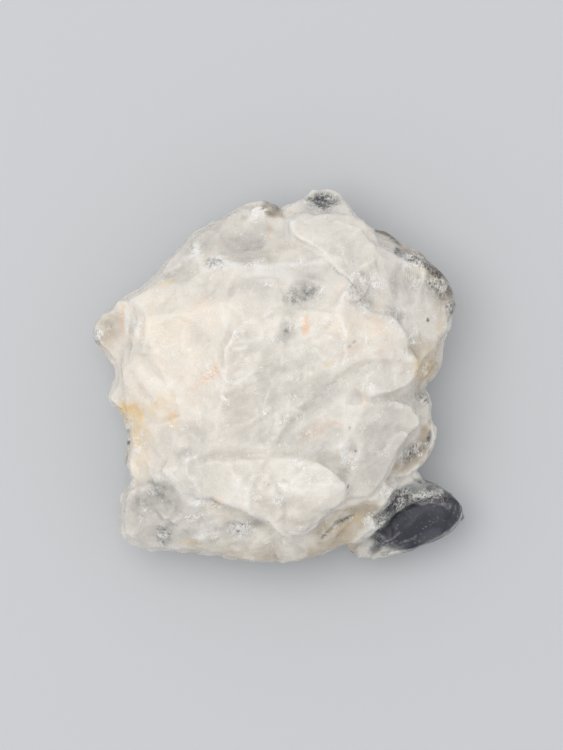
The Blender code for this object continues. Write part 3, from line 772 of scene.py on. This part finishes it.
    def strokes(self, net: Net, combed: Socket, crowd: Socket, run: Run) -> Socket:
        """Short crisp strokes, the edges of fine fractures; the white ones also serve as painted
        glints.

        The real ones are thinner than the eye can tell at arm's length, so they are drawn as
        coarse as they need to show.

        Args:
            net: The material's nodes.
            combed: The combed place, in millimetres.
            crowd: How closely the strokes crowd.
            run: How the strokes run.

        Returns:
            0 between the strokes and 1 on them.
        """
        across = 1.0 / self.stroke_mm
        lean = math.radians(run.lean)
        comb = {
            "Vector": combed,
            "Rotation": (lean, lean, -math.radians(run.turn)),
            "Scale": (across * self.stroke_stretch, across, across),
        }
        streaks = {"Vector": net.add("Mapping", comb), "Scale": 1.0, "Detail": 3.0, "Roughness": 0.62}
        level = net.add("TexNoise", streaks)
        crowded = net.add("Math", (crowd, level), operation="ADD")
        span = (run.least, run.least + self.stroke_edge)
        return net.add("MapRange", (crowded, *span), interpolation_type="SMOOTHSTEP")

    def white_strokes_and_glints(self, net: Net, combed: Socket, crowd: Socket, crack: Socket) -> Socket:
        """White strokes in two crossing directions, partly painted glints, and white cracks where they
        crowd.

        Args:
            net: The material's nodes.
            combed: The combed place, in millimetres.
            crowd: How closely the strokes crowd.
            crack: 1 on the cracks between the small faces.

        Returns:
            0 between the strokes and up to 1 on them.
        """
        crossing = tuple(self.strokes(net, combed, crowd, run) for run in self.white_and_glint_runs)
        strokes = net.add("Math", crossing, operation="MAXIMUM")
        opened = net.add("MapRange", (crowd, *self.crack_span))
        cracks = net.add("Math", (crack, opened), operation="MULTIPLY")
        return net.add("Math", (strokes, cracks), operation="MAXIMUM")

    def pane_depth(self, net: Net, chip: Socket) -> Socket:
        """How far down a clear window lets the eye go, broken up by small faces and crackle.

        Args:
            net: The material's nodes.
            chip: A value from 0 to 1 for each small face.

        Returns:
            0 on the milk and 1 in the clearest window.
        """
        kept = net.layers[Layer.CLEAR]
        crazed = {"Vector": net.place, "Scale": 1.0 / self.crackle_mm, "Detail": 4.0, "Roughness": 0.7}
        crackle = net.add("TexNoise", crazed)
        swing = net.add("MapRange", (crackle, *self.crackle_span), clamp=False)
        steep = net.add("Math", (net.layers[Layer.BUSY], 2.0), operation="POWER")
        fray = net.add("Math", (steep, *self.fray), operation="MULTIPLY_ADD")
        crackled = net.add("Math", (swing, fray), operation="MULTIPLY")
        tilted = net.add("MapRange", (chip, *self.chip_span), clamp=False)
        uneven = net.add("Math", (crackled, tilted), operation="ADD")
        rising = net.add("MapRange", (kept, *self.rising_span))
        calming = net.add("MapRange", (kept, *self.calming_span))
        share = net.add("Math", (rising, calming), operation="MULTIPLY")
        return net.add("Math", (uneven, share, kept), operation="MULTIPLY_ADD")

    def frost_and_glint_share(self, net: Net, white: Socket, depth: Socket) -> Socket:
        """How white each place is with fine fractures, painted glints and painted highlights along
        raised edges.

        Args:
            net: The material's nodes.
            white: The white strokes.
            depth: The depth of the clear windows, where loose strokes fade.

        Returns:
            The share of frost, from 0 to 1.
        """
        pattern = net.add("Math", (white, *self.frost_and_glint_pattern), operation="MULTIPLY_ADD")
        broken = net.add("Math", (net.layers[Layer.FROST_AND_GLINTS], pattern), operation="MULTIPLY")
        # Painted highlight: raised edges are whitened, partly as white broken edges and partly as
        # painted edge highlights.
        ridge = (net.layers[Layer.RIDGE], *self.ridge_span)
        lined = net.add("MapRange", ridge, interpolation_type="SMOOTHSTEP")
        loose = net.add("Math", (white, lined), operation="MAXIMUM")
        faded = net.add("MapRange", (depth, *self.fading_span))
        thin = net.add("Math", (loose, faded), operation="MULTIPLY")
        return net.add("Math", (broken, thin), operation="MAXIMUM")

    def specks(self, net: Net, depth: Socket) -> Socket:
        """Fine white specks in the smoky flake, which are tiny fractures that catch the light.

        They are drawn as coarse as they need to show.

        Args:
            net: The material's nodes.
            depth: The depth of the clear windows.

        Returns:
            0 between the specks and up to the most frost on them.
        """
        cells = {"Vector": net.place, "Scale": 1.0 / self.speck_apart_mm}
        away = net.add("TexVoronoi", cells, out="Distance")
        size = self.speck_mm / self.speck_apart_mm
        speck = net.add("MapRange", (away, self.speck_core * size, size, self.speck_most, 0.0))
        core = net.add("MapRange", (depth, *self.speck_span))
        return net.add("Math", (speck, core), operation="MULTIPLY")

    def clarity(self, net: Net, frost_and_glint: Socket, depth: Socket) -> Socket:
        """How much light each place lets straight through.

        Args:
            net: The material's nodes.
            frost_and_glint: The share of frost.
            depth: The depth of the clear windows.

        Returns:
            The share, from 0 to 1.
        """
        clear = net.add("MapRange", (depth, *self.clear_span), interpolation_type="SMOOTHSTEP")
        unfrosted = net.add("Math", (1.0, frost_and_glint), operation="SUBTRACT")
        return net.add("Math", (clear, unfrosted), operation="MULTIPLY")

    def laid_over(self, net: Net, body: Socket | tuple, coats: tuple) -> Socket:
        """A colour with coats laid over it, one after the other.

        A colour mix takes its two colours at inputs 6 and 7 and gives the result at output 2.

        Args:
            net: The material's nodes.
            body: The colour underneath.
            coats: The share and the colour of each coat.

        Returns:
            The colour with its coats.
        """
        for share, hue in coats:
            body = net.add("Mix", {0: share, 6: body, 7: hue}, out=2, data_type="RGBA")
        return body

    def body_colour(self, net: Net, faces: tuple[Socket, Socket]) -> Socket:
        """The milky body, clouded with pearl from face to face and stained, with painted shade among
        the grey and tan.

        Args:
            net: The material's nodes.
            faces: The values of the large and the small broken faces.

        Returns:
            The colour.
        """
        mottle = {"Vector": net.place, "Scale": 1.0 / self.mottle_mm, "Detail": 5.0, "Roughness": 0.62}
        cloud = (net.add("TexNoise", mottle), *self.mottle_span)
        pearly = net.add("MapRange", cloud, interpolation_type="SMOOTHSTEP")
        for level, share in zip(faces, self.face_lifts):
            lift = net.add("Math", (level, 0.5), operation="SUBTRACT")
            pearly = net.add("Math", (lift, share, pearly), operation="MULTIPLY_ADD")
        stains_and_shade = tuple((net.layers[layer], linear(hue)) for layer, hue in zip(STAINS_AND_SHADE, self.stains_and_shade))
        return self.laid_over(net, linear(self.milk), ((pearly, linear(self.pearl)), *stains_and_shade))

    def dressed_colour(
        self, net: Net, body: Socket, dark: Socket, frost_and_glint: Socket, depth: Socket
    ) -> Socket:
        """The body with its clear windows, dark strokes, frosty white with painted glints and
        highlights, and grit.

        Args:
            net: The material's nodes.
            body: The colour of the milky body.
            dark: The dark strokes.
            frost_and_glint: The share of frost.
            depth: The depth of the clear windows.

        Returns:
            The colour.
        """
        shown = net.add("MapRange", (depth, *self.pane_span))
        deep = net.add("MapRange", (depth, *self.dark_span))
        shaded = net.add("Math", (dark, deep), operation="MULTIPLY")
        coats = (
            (shown, self.pane_colour(net, depth)),
            (shaded, linear(self.shade)),
            # Painted glints and highlights come in with this white coat.
            (frost_and_glint, linear(self.frost_and_glint)),
            (net.layers[Layer.GRIT], linear(self.grit)),
        )
        return self.laid_over(net, body, coats)

    def pane_colour(self, net: Net, depth: Socket) -> Socket:
        """The clear windows' colour, from pale grey through to smoke, and warmer where tan.

        Args:
            net: The material's nodes.
            depth: The depth of the clear windows.

        Returns:
            The colour.
        """
        pane = net.add("ValToRGB", {"Fac": depth})
        ramp = pane.node.color_ramp
        for element, (position, hue) in zip(list(ramp.elements), self.pane_ends):
            element.position = position
            element.color = linear(hue)
        for position, hue in self.pane_steps:
            ramp.elements.new(position).color = linear(hue)
        warmth = net.add("Math", (net.layers[Layer.TAN], self.warm_share), operation="MULTIPLY")
        return self.laid_over(net, pane, ((warmth, linear(self.warm_pane)),))

    def dusted(self, net: Net, colour: Socket) -> Socket:
        """The colour with the fine grain of light and dark that tiny fractures give it.

        The real grain is finer than the render can show, so it is drawn as coarse as it needs to.

        Args:
            net: The material's nodes.
            colour: The colour without its grain.

        Returns:
            The colour.
        """
        dust = {"Vector": net.place, "Scale": 1.0 / self.dust_mm, "Detail": 2.0, "Roughness": 0.6}
        shimmer = net.add("MapRange", (net.add("TexNoise", dust), *self.dust_span))
        mixed = {"data_type": "RGBA", "blend_type": "MULTIPLY", "clamp_result": True}
        return net.add("Mix", {0: 1.0, 6: colour, 7: shimmer}, out=2, **mixed)

    def roughness(self, net: Net, bent: Socket, frost_and_glint: Socket, depth: Socket) -> Socket:
        """Waxy on the milk, glassy on the clear windows and dull on the frost.

        A plain mix takes its two values at inputs 2 and 3.

        Args:
            net: The material's nodes.
            bent: The swayed place, in millimetres.
            frost_and_glint: The share of frost.
            depth: The depth of the clear windows.

        Returns:
            The roughness.
        """
        patches = {"Vector": bent, "Scale": 1.0 / self.patch_mm, "Detail": 3.0}
        waxy = net.add("MapRange", (net.add("TexNoise", patches), *self.waxy_span))
        clear = net.add("MapRange", (depth, *self.glassy_span), interpolation_type="SMOOTHSTEP")
        core = net.add("MapRange", (depth, *self.smoky_span))
        pane = net.add("Mix", {0: core, 2: self.glassy, 3: self.smoky})
        sleek = net.add("Mix", {0: clear, 2: waxy, 3: pane})
        return net.add("Mix", {0: frost_and_glint, 2: sleek, 3: self.frosted})

    def relief(self, net: Net, bent: Socket, white: Socket) -> Socket:
        """Fine relief: tiny cleavage facets, low ledges, fracture edges and a sugary grain.

        The facets tilt most in busy places.

        Args:
            net: The material's nodes.
            bent: The swayed place, in millimetres.
            white: The white strokes.

        Returns:
            The bent normal.
        """
        cells = {"Vector": net.place, "Scale": 1.0 / self.facet_mm}
        cell = net.add("TexVoronoi", cells, out="Color")
        middle = cell.node.outputs["Position"]
        tilt = net.add("VectorMath", (cell, (0.5, 0.5, 0.5)), operation="SUBTRACT")
        inside = net.add("VectorMath", (net.place, middle), operation="SUBTRACT")
        facet = net.add("VectorMath", (inside, tilt), out="Value", operation="DOT_PRODUCT")
        much = net.add("Math", (net.layers[Layer.BUSY], *self.facet_busy), operation="MULTIPLY_ADD")
        saw = {
            "Vector": bent,
            "Scale": math.tau / 20.0 / self.ledge_mm,
            "Distortion": 5.0,
            "Detail": 3.0,
            "Detail Scale": 0.6,
        }
        ledges = net.add(
            "TexWave", saw, out="Fac", wave_profile="SAW", bands_direction="DIAGONAL"
        )
        sugar = {"Vector": net.place, "Scale": 1.0 / self.grain_mm, "Detail": 4.0, "Roughness": 0.7}
        grain = net.add("TexNoise", sugar)
        bump = {}
        for height, distance, strength in (
            (facet, self.facet_height, much),
            (ledges, self.ledge_height, self.ledge_strength),
            (white, self.stroke_height, self.stroke_strength),
            (grain, self.grain_height, self.grain_strength),
        ):
            bump.update({"Height": height, "Distance": distance * MM, "Strength": strength})
            bump["Normal"] = net.add("Bump", bump)
        return bump["Normal"]


@dataclass(frozen=True)
class Patches:
    """Soft patches of a layer on the sides and the underside.

    They come from a noise whose lumps have the size in millimetres, moved by the shift. They
    start at the low level and are full, which is the most cover, at the high one.
    """

    size_mm: float
    shift: float
    low: float
    high: float
    most: float


HIDDEN = {
    Layer.CREAM: Patches(11.0, 3.0, -0.1, 0.5, 0.6),
    Layer.GREY: Patches(9.0, 7.0, 0.0, 0.5, 0.7),
    Layer.TAN: Patches(8.0, 13.0, 0.15, 0.6, 0.6),
    Layer.OCHRE: Patches(6.0, 17.0, 0.4, 0.8, 0.6),
    Layer.FROST_AND_GLINTS: Patches(4.0, 23.0, 0.35, 0.7, 0.7),
    Layer.CLEAR: Patches(6.5, 29.0, 0.3, 0.9, 0.6),
    Layer.BUSY: Patches(5.0, 41.0, 0.0, 0.6, 0.8),
}


@dataclass
class Stone:
    """The lump of petalite, as one closed piece over its solid.

    A name that ends in mm is a size or a distance in millimetres. A span is where something
    starts and where it is full, and a fractal is its roughness, its lacunarity and its octaves.
    The seed is for the noise that sways places, which would else differ from run to run.
    """

    node: str = "petalite"
    slot: str = "petalite"
    body: str = "root"
    piece_name: str = "petalite_stone"
    seed: int = 7
    merge_mm: float = 0.01
    voxel_mm: float = 0.288
    melt_steps: int = 2
    melt_share: float = 0.4
    crisp_steps: int = 3
    crisp_share: float = 0.3
    crisp_most_mm: float = 0.07
    foot_span_mm: Span = (0.05, 0.6)
    smoke_calm: float = 0.85
    flake_sizes: tuple[float, ...] = (3.0, 1.3)
    flake_wander: float = 0.4
    flake_tilt: float = 0.05
    flake_step: float = 0.025
    flake_seed: float = 23.0
    step_mm: float = 0.75
    step_share: float = 0.35
    step_wave_mm: float = 4.0
    step_wave_reach: float = 0.5
    step_patch_mm: float = 5.0
    step_patch_shift: tuple[float, float, float] = (11.0, 5.0, 2.0)
    step_patch: tuple[float, float] = (2.2, 0.25)
    cleavage_dip: float = 24.0
    cleavage_bearing: float = 118.0
    grit_mm: float = 0.8
    grit_height: float = 0.03
    grit_fractal: Fractal = (1.0, 2.0, 3)
    sugar_mm: float = 0.55
    sugar_height: float = 0.06
    sugar_fractal: Fractal = (0.8, 2.0, 2)
    warp_mm: float = 2.2
    warp_reach: float = 0.45
    drift_mm: float = 6.0
    drift_reach: float = 1.8
    cloud_mm: float = 2.6
    cloud_reach: float = 0.5
    cloud_shift: float = 37.0
    cloud_fractal: Fractal = (1.0, 2.0, 3)
    facing_span: Span = (-0.3, 0.02)
    waist_span_mm: Span = (2.0, 5.0)
    flake_span: Span = (0.2, 0.5)
    ridge_steps: int = 2
    ridge_mm: float = 0.05
    finish: MilkyPetalite = field(default_factory=MilkyPetalite)

    def build(self, solid: Thing) -> Thing:
        """Models and dresses the stone.

        Args:
            solid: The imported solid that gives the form.

        Returns:
            The finished piece.
        """
        noise.seed_set(self.seed)
        piece = self.merged_copy(solid)
        self.remesh(piece)
        self.sharpen(piece)
        self.relieve(piece)
        self.paint(piece)
        piece.data.materials.clear()
        piece.data.materials.append(self.finish.build())
        bpy.ops.object.shade_smooth()
        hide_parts(self.node)
        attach(piece, self.body)
        return piece

    def merged_copy(self, solid: Thing) -> Thing:
        """Copies the solid's mesh and merges its loose triangles.

        Args:
            solid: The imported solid, which stays as it is.

        Returns:
            The copy, selected and active.
        """
        piece = bpy.data.objects.new(self.piece_name, solid.data.copy())
        bpy.context.scene.collection.objects.link(piece)
        bpy.ops.object.select_all(action="DESELECT")
        piece.select_set(True)
        bpy.context.view_layer.objects.active = piece
        bpy.ops.object.mode_set(mode="EDIT")
        bpy.ops.mesh.select_all(action="SELECT")
        bpy.ops.mesh.remove_doubles(threshold=self.merge_mm * MM)
        bpy.ops.object.mode_set(mode="OBJECT")
        return piece

    def remesh(self, piece: Thing) -> None:
        """Gives the piece an even fine mesh and melts the solid's flat faces together.

        Args:
            piece: The piece.
        """
        piece.data.remesh_voxel_size = self.voxel_mm * MM
        bpy.ops.object.voxel_remesh()
        melt = piece.modifiers.new("melt", "SMOOTH")
        melt.factor = self.melt_share
        melt.iterations = self.melt_steps
        bpy.ops.object.modifier_apply(modifier=melt.name)

    def sharpen(self, piece: Thing) -> None:
        """Raises the ledges' edges and deepens their feet, so that they look freshly broken.

        Args:
            piece: The piece.
        """
        points, normals = self.skin(piece)
        bend = self.bend(piece, points, normals, self.crisp_steps)
        push = np.clip(self.crisp_share * bend, -self.crisp_most_mm, self.crisp_most_mm)
        push *= smooth_step(*self.foot_span_mm, points[:, 2])
        self.move(piece, points + push[:, None] * normals)

    def relieve(self, piece: Thing) -> None:
        """Adds the fine steps, flakes and grit of the broken faces to the mesh.

        Args:
            piece: The piece.
        """
        points, normals = self.skin(piece)
        plan = points[:, :2]
        sugar = np.maximum(self.cover(FROST_AND_GLINTS, plan), self.cover(BUSY, plan))
        calm = 1.0 - self.smoke_calm * SMOKE.cover(plan)
        calm *= smooth_step(*self.foot_span_mm, points[:, 2])
        dip, bearing = math.radians(self.cleavage_dip), math.radians(self.cleavage_bearing)
        cleavage = Vector(
            (math.sin(dip) * math.cos(bearing), math.sin(dip) * math.sin(bearing), math.cos(dip))
        )
        moved = points.copy()
        for i, (point, normal) in enumerate(zip(points, normals)):
            at = Vector(point)
            height = self.flake_height(at)
            grit = noise.fractal(at / self.grit_mm, *self.grit_fractal)
            sugary = sugar[i] * noise.fractal(at / self.sugar_mm, *self.sugar_fractal)
            height += self.grit_height * grit
            height += self.sugar_height * sugary
            step = self.step_offset(at, cleavage)
            moved[i] += (normal * height + np.array(cleavage) * step) * calm[i]
        self.move(piece, moved)

    def flake_height(self, at: Vector) -> float:
        """Height of the small flakes that a place lies on, each with its own tilt and level.

        Args:
            at: The place, in millimetres.

        Returns:
            The height, in millimetres.
        """
        height = 0.0
        for size in self.flake_sizes:
            place = at / size + self.flake_wander * noise.noise_vector(at / size)
            seed = noise.voronoi(place)[1][0]
            tilt = noise.cell_vector(seed * self.flake_seed) - Vector((0.5, 0.5, 0.5))
            height += size * self.flake_tilt * (place - seed).dot(tilt) + self.flake_step * tilt.x
        return height

    def step_offset(self, at: Vector, cleavage: Vector) -> float:
        """How far a place moves along the cleavage's normal, so that the skin steps there.

        Args:
            at: The place, in millimetres.
            cleavage: The cleavage's normal.

        Returns:
            The distance, in millimetres.
        """
        height = at.dot(cleavage) + self.step_wave_reach * noise.noise(at / self.step_wave_mm)
        part = height / self.step_mm - math.floor(height / self.step_mm)
        # The stair eases from 0 to 1 with level ends.
        stair = part * part * part * (part * (6.0 * part - 15.0) + 10.0)
        patch = noise.noise(at / self.step_patch_mm + Vector(self.step_patch_shift))
        slope, start = self.step_patch
        share = self.step_share * min(1.0, max(0.0, start + slope * patch))
        return (stair - part) * self.step_mm * share

    def skin(self, piece: Thing) -> tuple[Values, Values]:
        """Reads the piece's mesh.

        Args:
            piece: The piece.

        Returns:
            Its points, in millimetres, and their normals.
        """
        count = len(piece.data.vertices)
        points = np.empty(count * 3, dtype=np.float64)
        normals = np.empty(count * 3, dtype=np.float64)
        piece.data.vertices.foreach_get("co", points)
        piece.data.vertices.foreach_get("normal", normals)
        return points.reshape(-1, 3) / MM, normals.reshape(-1, 3)

    def move(self, piece: Thing, points: Values) -> None:
        """Moves the piece's points to new places, none below the floor.

        Args:
            piece: The piece.
            points: The new places, in millimetres.
        """
        points[:, 2] = np.maximum(points[:, 2], 0.0)
        piece.data.vertices.foreach_set("co", (points * MM).ravel())
        piece.data.update()

    def cover(self, marks: tuple, plan: Values) -> Values:
        """The joint cover of some marks.

        Args:
            marks: The marks.
            plan: The points' places seen from above, in millimetres.

        Returns:
            The cover of each point, from 0 to 1.
        """
        bare = np.ones(len(plan))
        for mark in marks:
            bare *= 1.0 - mark.cover(plan)
        return 1.0 - bare

    def cloud(self, points: Values, size_mm: float, shift: float) -> Values:
        """Soft noise at each point.

        Args:
            points: The points, in millimetres.
            size_mm: The size of a lump of the noise.
            shift: Moves the noise, so that each use has its own.

        Returns:
            Values that are mostly between -1 and 1.
        """
        offset = Vector((shift, -shift, 2.0 * shift))
        places = (Vector(point) / size_mm + offset for point in points)
        return np.array([noise.fractal(place, *self.cloud_fractal) for place in places])

    def paint(self, piece: Thing) -> None:
        """Keeps the cover of each layer, and how sharp each ridge is, as attributes.

        Args:
            piece: The piece.
        """
        points, normals = self.skin(piece)
        plan = points[:, :2] + self.sway(points, self.warp_mm, self.warp_reach)
        broad = plan + self.sway(points, self.drift_mm, self.drift_reach)
        seen = smooth_step(*self.facing_span, normals[:, 2])
        seen *= smooth_step(*self.waist_span_mm, points[:, 2])
        seen = np.maximum(seen, smooth_step(*self.flake_span, FLAKE.cover(plan)))
        cloud = self.cloud_reach * self.cloud(points, self.cloud_mm, self.cloud_shift)
        for layer, marks in MARKS.items():
            value = self.cover(marks, broad if layer in BROAD_STAINS_AND_SHADE else plan)
            if layer in STAINS_AND_SHADE:
                value = np.clip(value + 4.0 * value * (1.0 - value) * cloud, 0.0, 1.0)
            value = seen * value + (1.0 - seen) * self.hidden_cover(layer, points)
            self.keep(piece, layer, value)
        bend = self.bend(piece, points, normals, self.ridge_steps)
        self.keep(piece, Layer.RIDGE, np.clip(bend / self.ridge_mm, 0.0, 1.0))

    def sway(self, points: Values, size_mm: float, reach: float) -> Values:
        """Slow sideways shifts that make drawn edges wander.

        Args:
            points: The points, in millimetres.
            size_mm: The size of a bend.
            reach: The largest shift, in millimetres.

        Returns:
            The shift of each point, seen from above.
        """
        return reach * np.array([noise.noise_vector(Vector(p) / size_mm)[:2] for p in points])

    def hidden_cover(self, layer: Layer, points: Values) -> Values | float:
        """A layer's cover on the sides and the underside, which the photo doesn't show.

        Args:
            layer: The layer.
            points: The points, in millimetres.

        Returns:
            The cover of each point, or 0 for a layer that has no patches there.
        """
        patches = HIDDEN.get(layer)
        if patches is None:
            return 0.0
        cloud = self.cloud(points, patches.size_mm, patches.shift)
        return patches.most * smooth_step(patches.low, patches.high, cloud)

    def bend(
        self, piece: Thing, points: Values, normals: Values, reach: int
    ) -> Values:
        """How far the skin stands out from its neighbourhood at each point.

        Args:
            piece: The piece, for its edges.
            points: The points, in millimetres.
            normals: Their normals.
            reach: How many edges away the neighbourhood goes.

        Returns:
            The height over the neighbourhood's mean, in millimetres, below 0 in hollows.
        """
        ends = np.empty(len(piece.data.edges) * 2, dtype=np.int64)
        piece.data.edges.foreach_get("vertices", ends)
        ends = ends.reshape(-1, 2)
        ends = np.concatenate((ends, ends[:, ::-1]))
        start, end = ends[:, 0], ends[:, 1]
        size = len(points)
        count = np.bincount(start, minlength=size)
        mean = points.copy()
        for _ in range(reach):
            sums = [np.bincount(start, mean[end, axis], size) for axis in range(3)]
            mean = np.stack(sums, axis=1) / count[:, None]
        height = np.einsum("ij,ij->i", points - mean, normals)
        return np.bincount(start, height[end], size) / count

    def keep(self, piece: Thing, layer: Layer, value: Values) -> None:
        """Stores one layer on the mesh."""
        stored = piece.data.attributes.new(layer.value, "FLOAT", "POINT")
        stored.data.foreach_set("value", value.astype(np.float32))


@dataclass
class Studio:
    """The pale floor, the soft lights and the camera that looks straight down.

    Lengths are in metres, apart from the names that end in mm. The picture's size and the
    stone's centre in it are in pixels of the photo.
    """

    floor_half: float = 1.6
    floor_colour: str = "#c9cbcd"
    floor_roughness: float = 0.9
    floor_gloss: float = 0.2
    key_size: float = 0.55
    key_power: float = 2.0
    key_place: tuple[float, float, float] = (-0.17, 0.08, 0.70)
    key_aim_height: float = 0.01
    sky_colour: str = "#f6f6f8"
    sky_strength: float = 0.78
    camera_height: float = 0.9
    camera_reach: float = 10.0
    waist_height: float = 0.0105
    picture: tuple[int, int] = (563, 750)
    stone_centre: tuple[float, float] = (276.5, 376.0)
    pixels_per_mm: float = 7.5
    sensor_mm: float = 36.0

    def build(self) -> None:
        """Sets the stage, the lights and the camera."""
        self.floor()
        self.lights()
        self.camera()

    def floor(self) -> None:
        """Lays the floor under the stone."""
        bpy.ops.object.select_all(action="DESELECT")
        bpy.ops.mesh.primitive_plane_add(size=2.0 * self.floor_half, location=(0.0, 0.0, 0.0))
        floor = bpy.context.object
        floor.name = "floor"
        paper = bpy.data.materials.new("matt_paper")
        paper.use_nodes = True
        shader = paper.node_tree.nodes["Principled BSDF"]
        shader.inputs["Base Color"].default_value = linear(self.floor_colour)
        shader.inputs["Roughness"].default_value = self.floor_roughness
        shader.inputs["Specular IOR Level"].default_value = self.floor_gloss
        floor.data.materials.append(paper)

    def lights(self) -> None:
        """Hangs a large soft light over the stone's left and fills in with a pale sky."""
        key = bpy.data.lights.new("key", "AREA")
        key.shape = "DISK"
        key.size = self.key_size
        key.energy = self.key_power
        lamp = bpy.data.objects.new("key", key)
        lamp.location = self.key_place
        away = Vector(self.key_place) - Vector((0.0, 0.0, self.key_aim_height))
        lamp.rotation_euler = away.to_track_quat("Z", "Y").to_euler()
        bpy.context.scene.collection.objects.link(lamp)
        world = bpy.data.worlds.new("studio")
        world.use_nodes = True
        sky = world.node_tree.nodes["Background"]
        sky.inputs["Color"].default_value = linear(self.sky_colour)
        sky.inputs["Strength"].default_value = self.sky_strength
        bpy.context.scene.world = world

    def camera(self) -> None:
        """Places the camera straight above, framed as the picture is."""
        across, down = self.picture
        camera = bpy.data.cameras.new("camera")
        camera.sensor_width = self.sensor_mm
        reach = self.camera_height - self.waist_height
        camera.lens = self.sensor_mm * reach / (down / self.pixels_per_mm * MM)
        camera.clip_end = self.camera_reach
        seat = bpy.data.objects.new("camera", camera)
        x = (across / 2.0 - self.stone_centre[0]) / self.pixels_per_mm
        y = (self.stone_centre[1] - down / 2.0) / self.pixels_per_mm
        seat.location = (x * MM, y * MM, self.camera_height)
        bpy.context.scene.collection.objects.link(seat)
        bpy.context.scene.camera = seat
        bpy.context.scene.view_settings.view_transform = "Standard"


def main() -> None:
    """Builds the studio and the stone, and reports each."""
    logging.basicConfig(level=logging.INFO, format="%(name)s: %(message)s")
    Studio().build()
    log.info("studio: floor, lights and camera are in place")
    stone = Stone()
    piece = stone.build(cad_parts[stone.node])
    log.info("%s: %d faces", piece.name, len(piece.data.polygons))


if __name__ == "__main__":
    main()
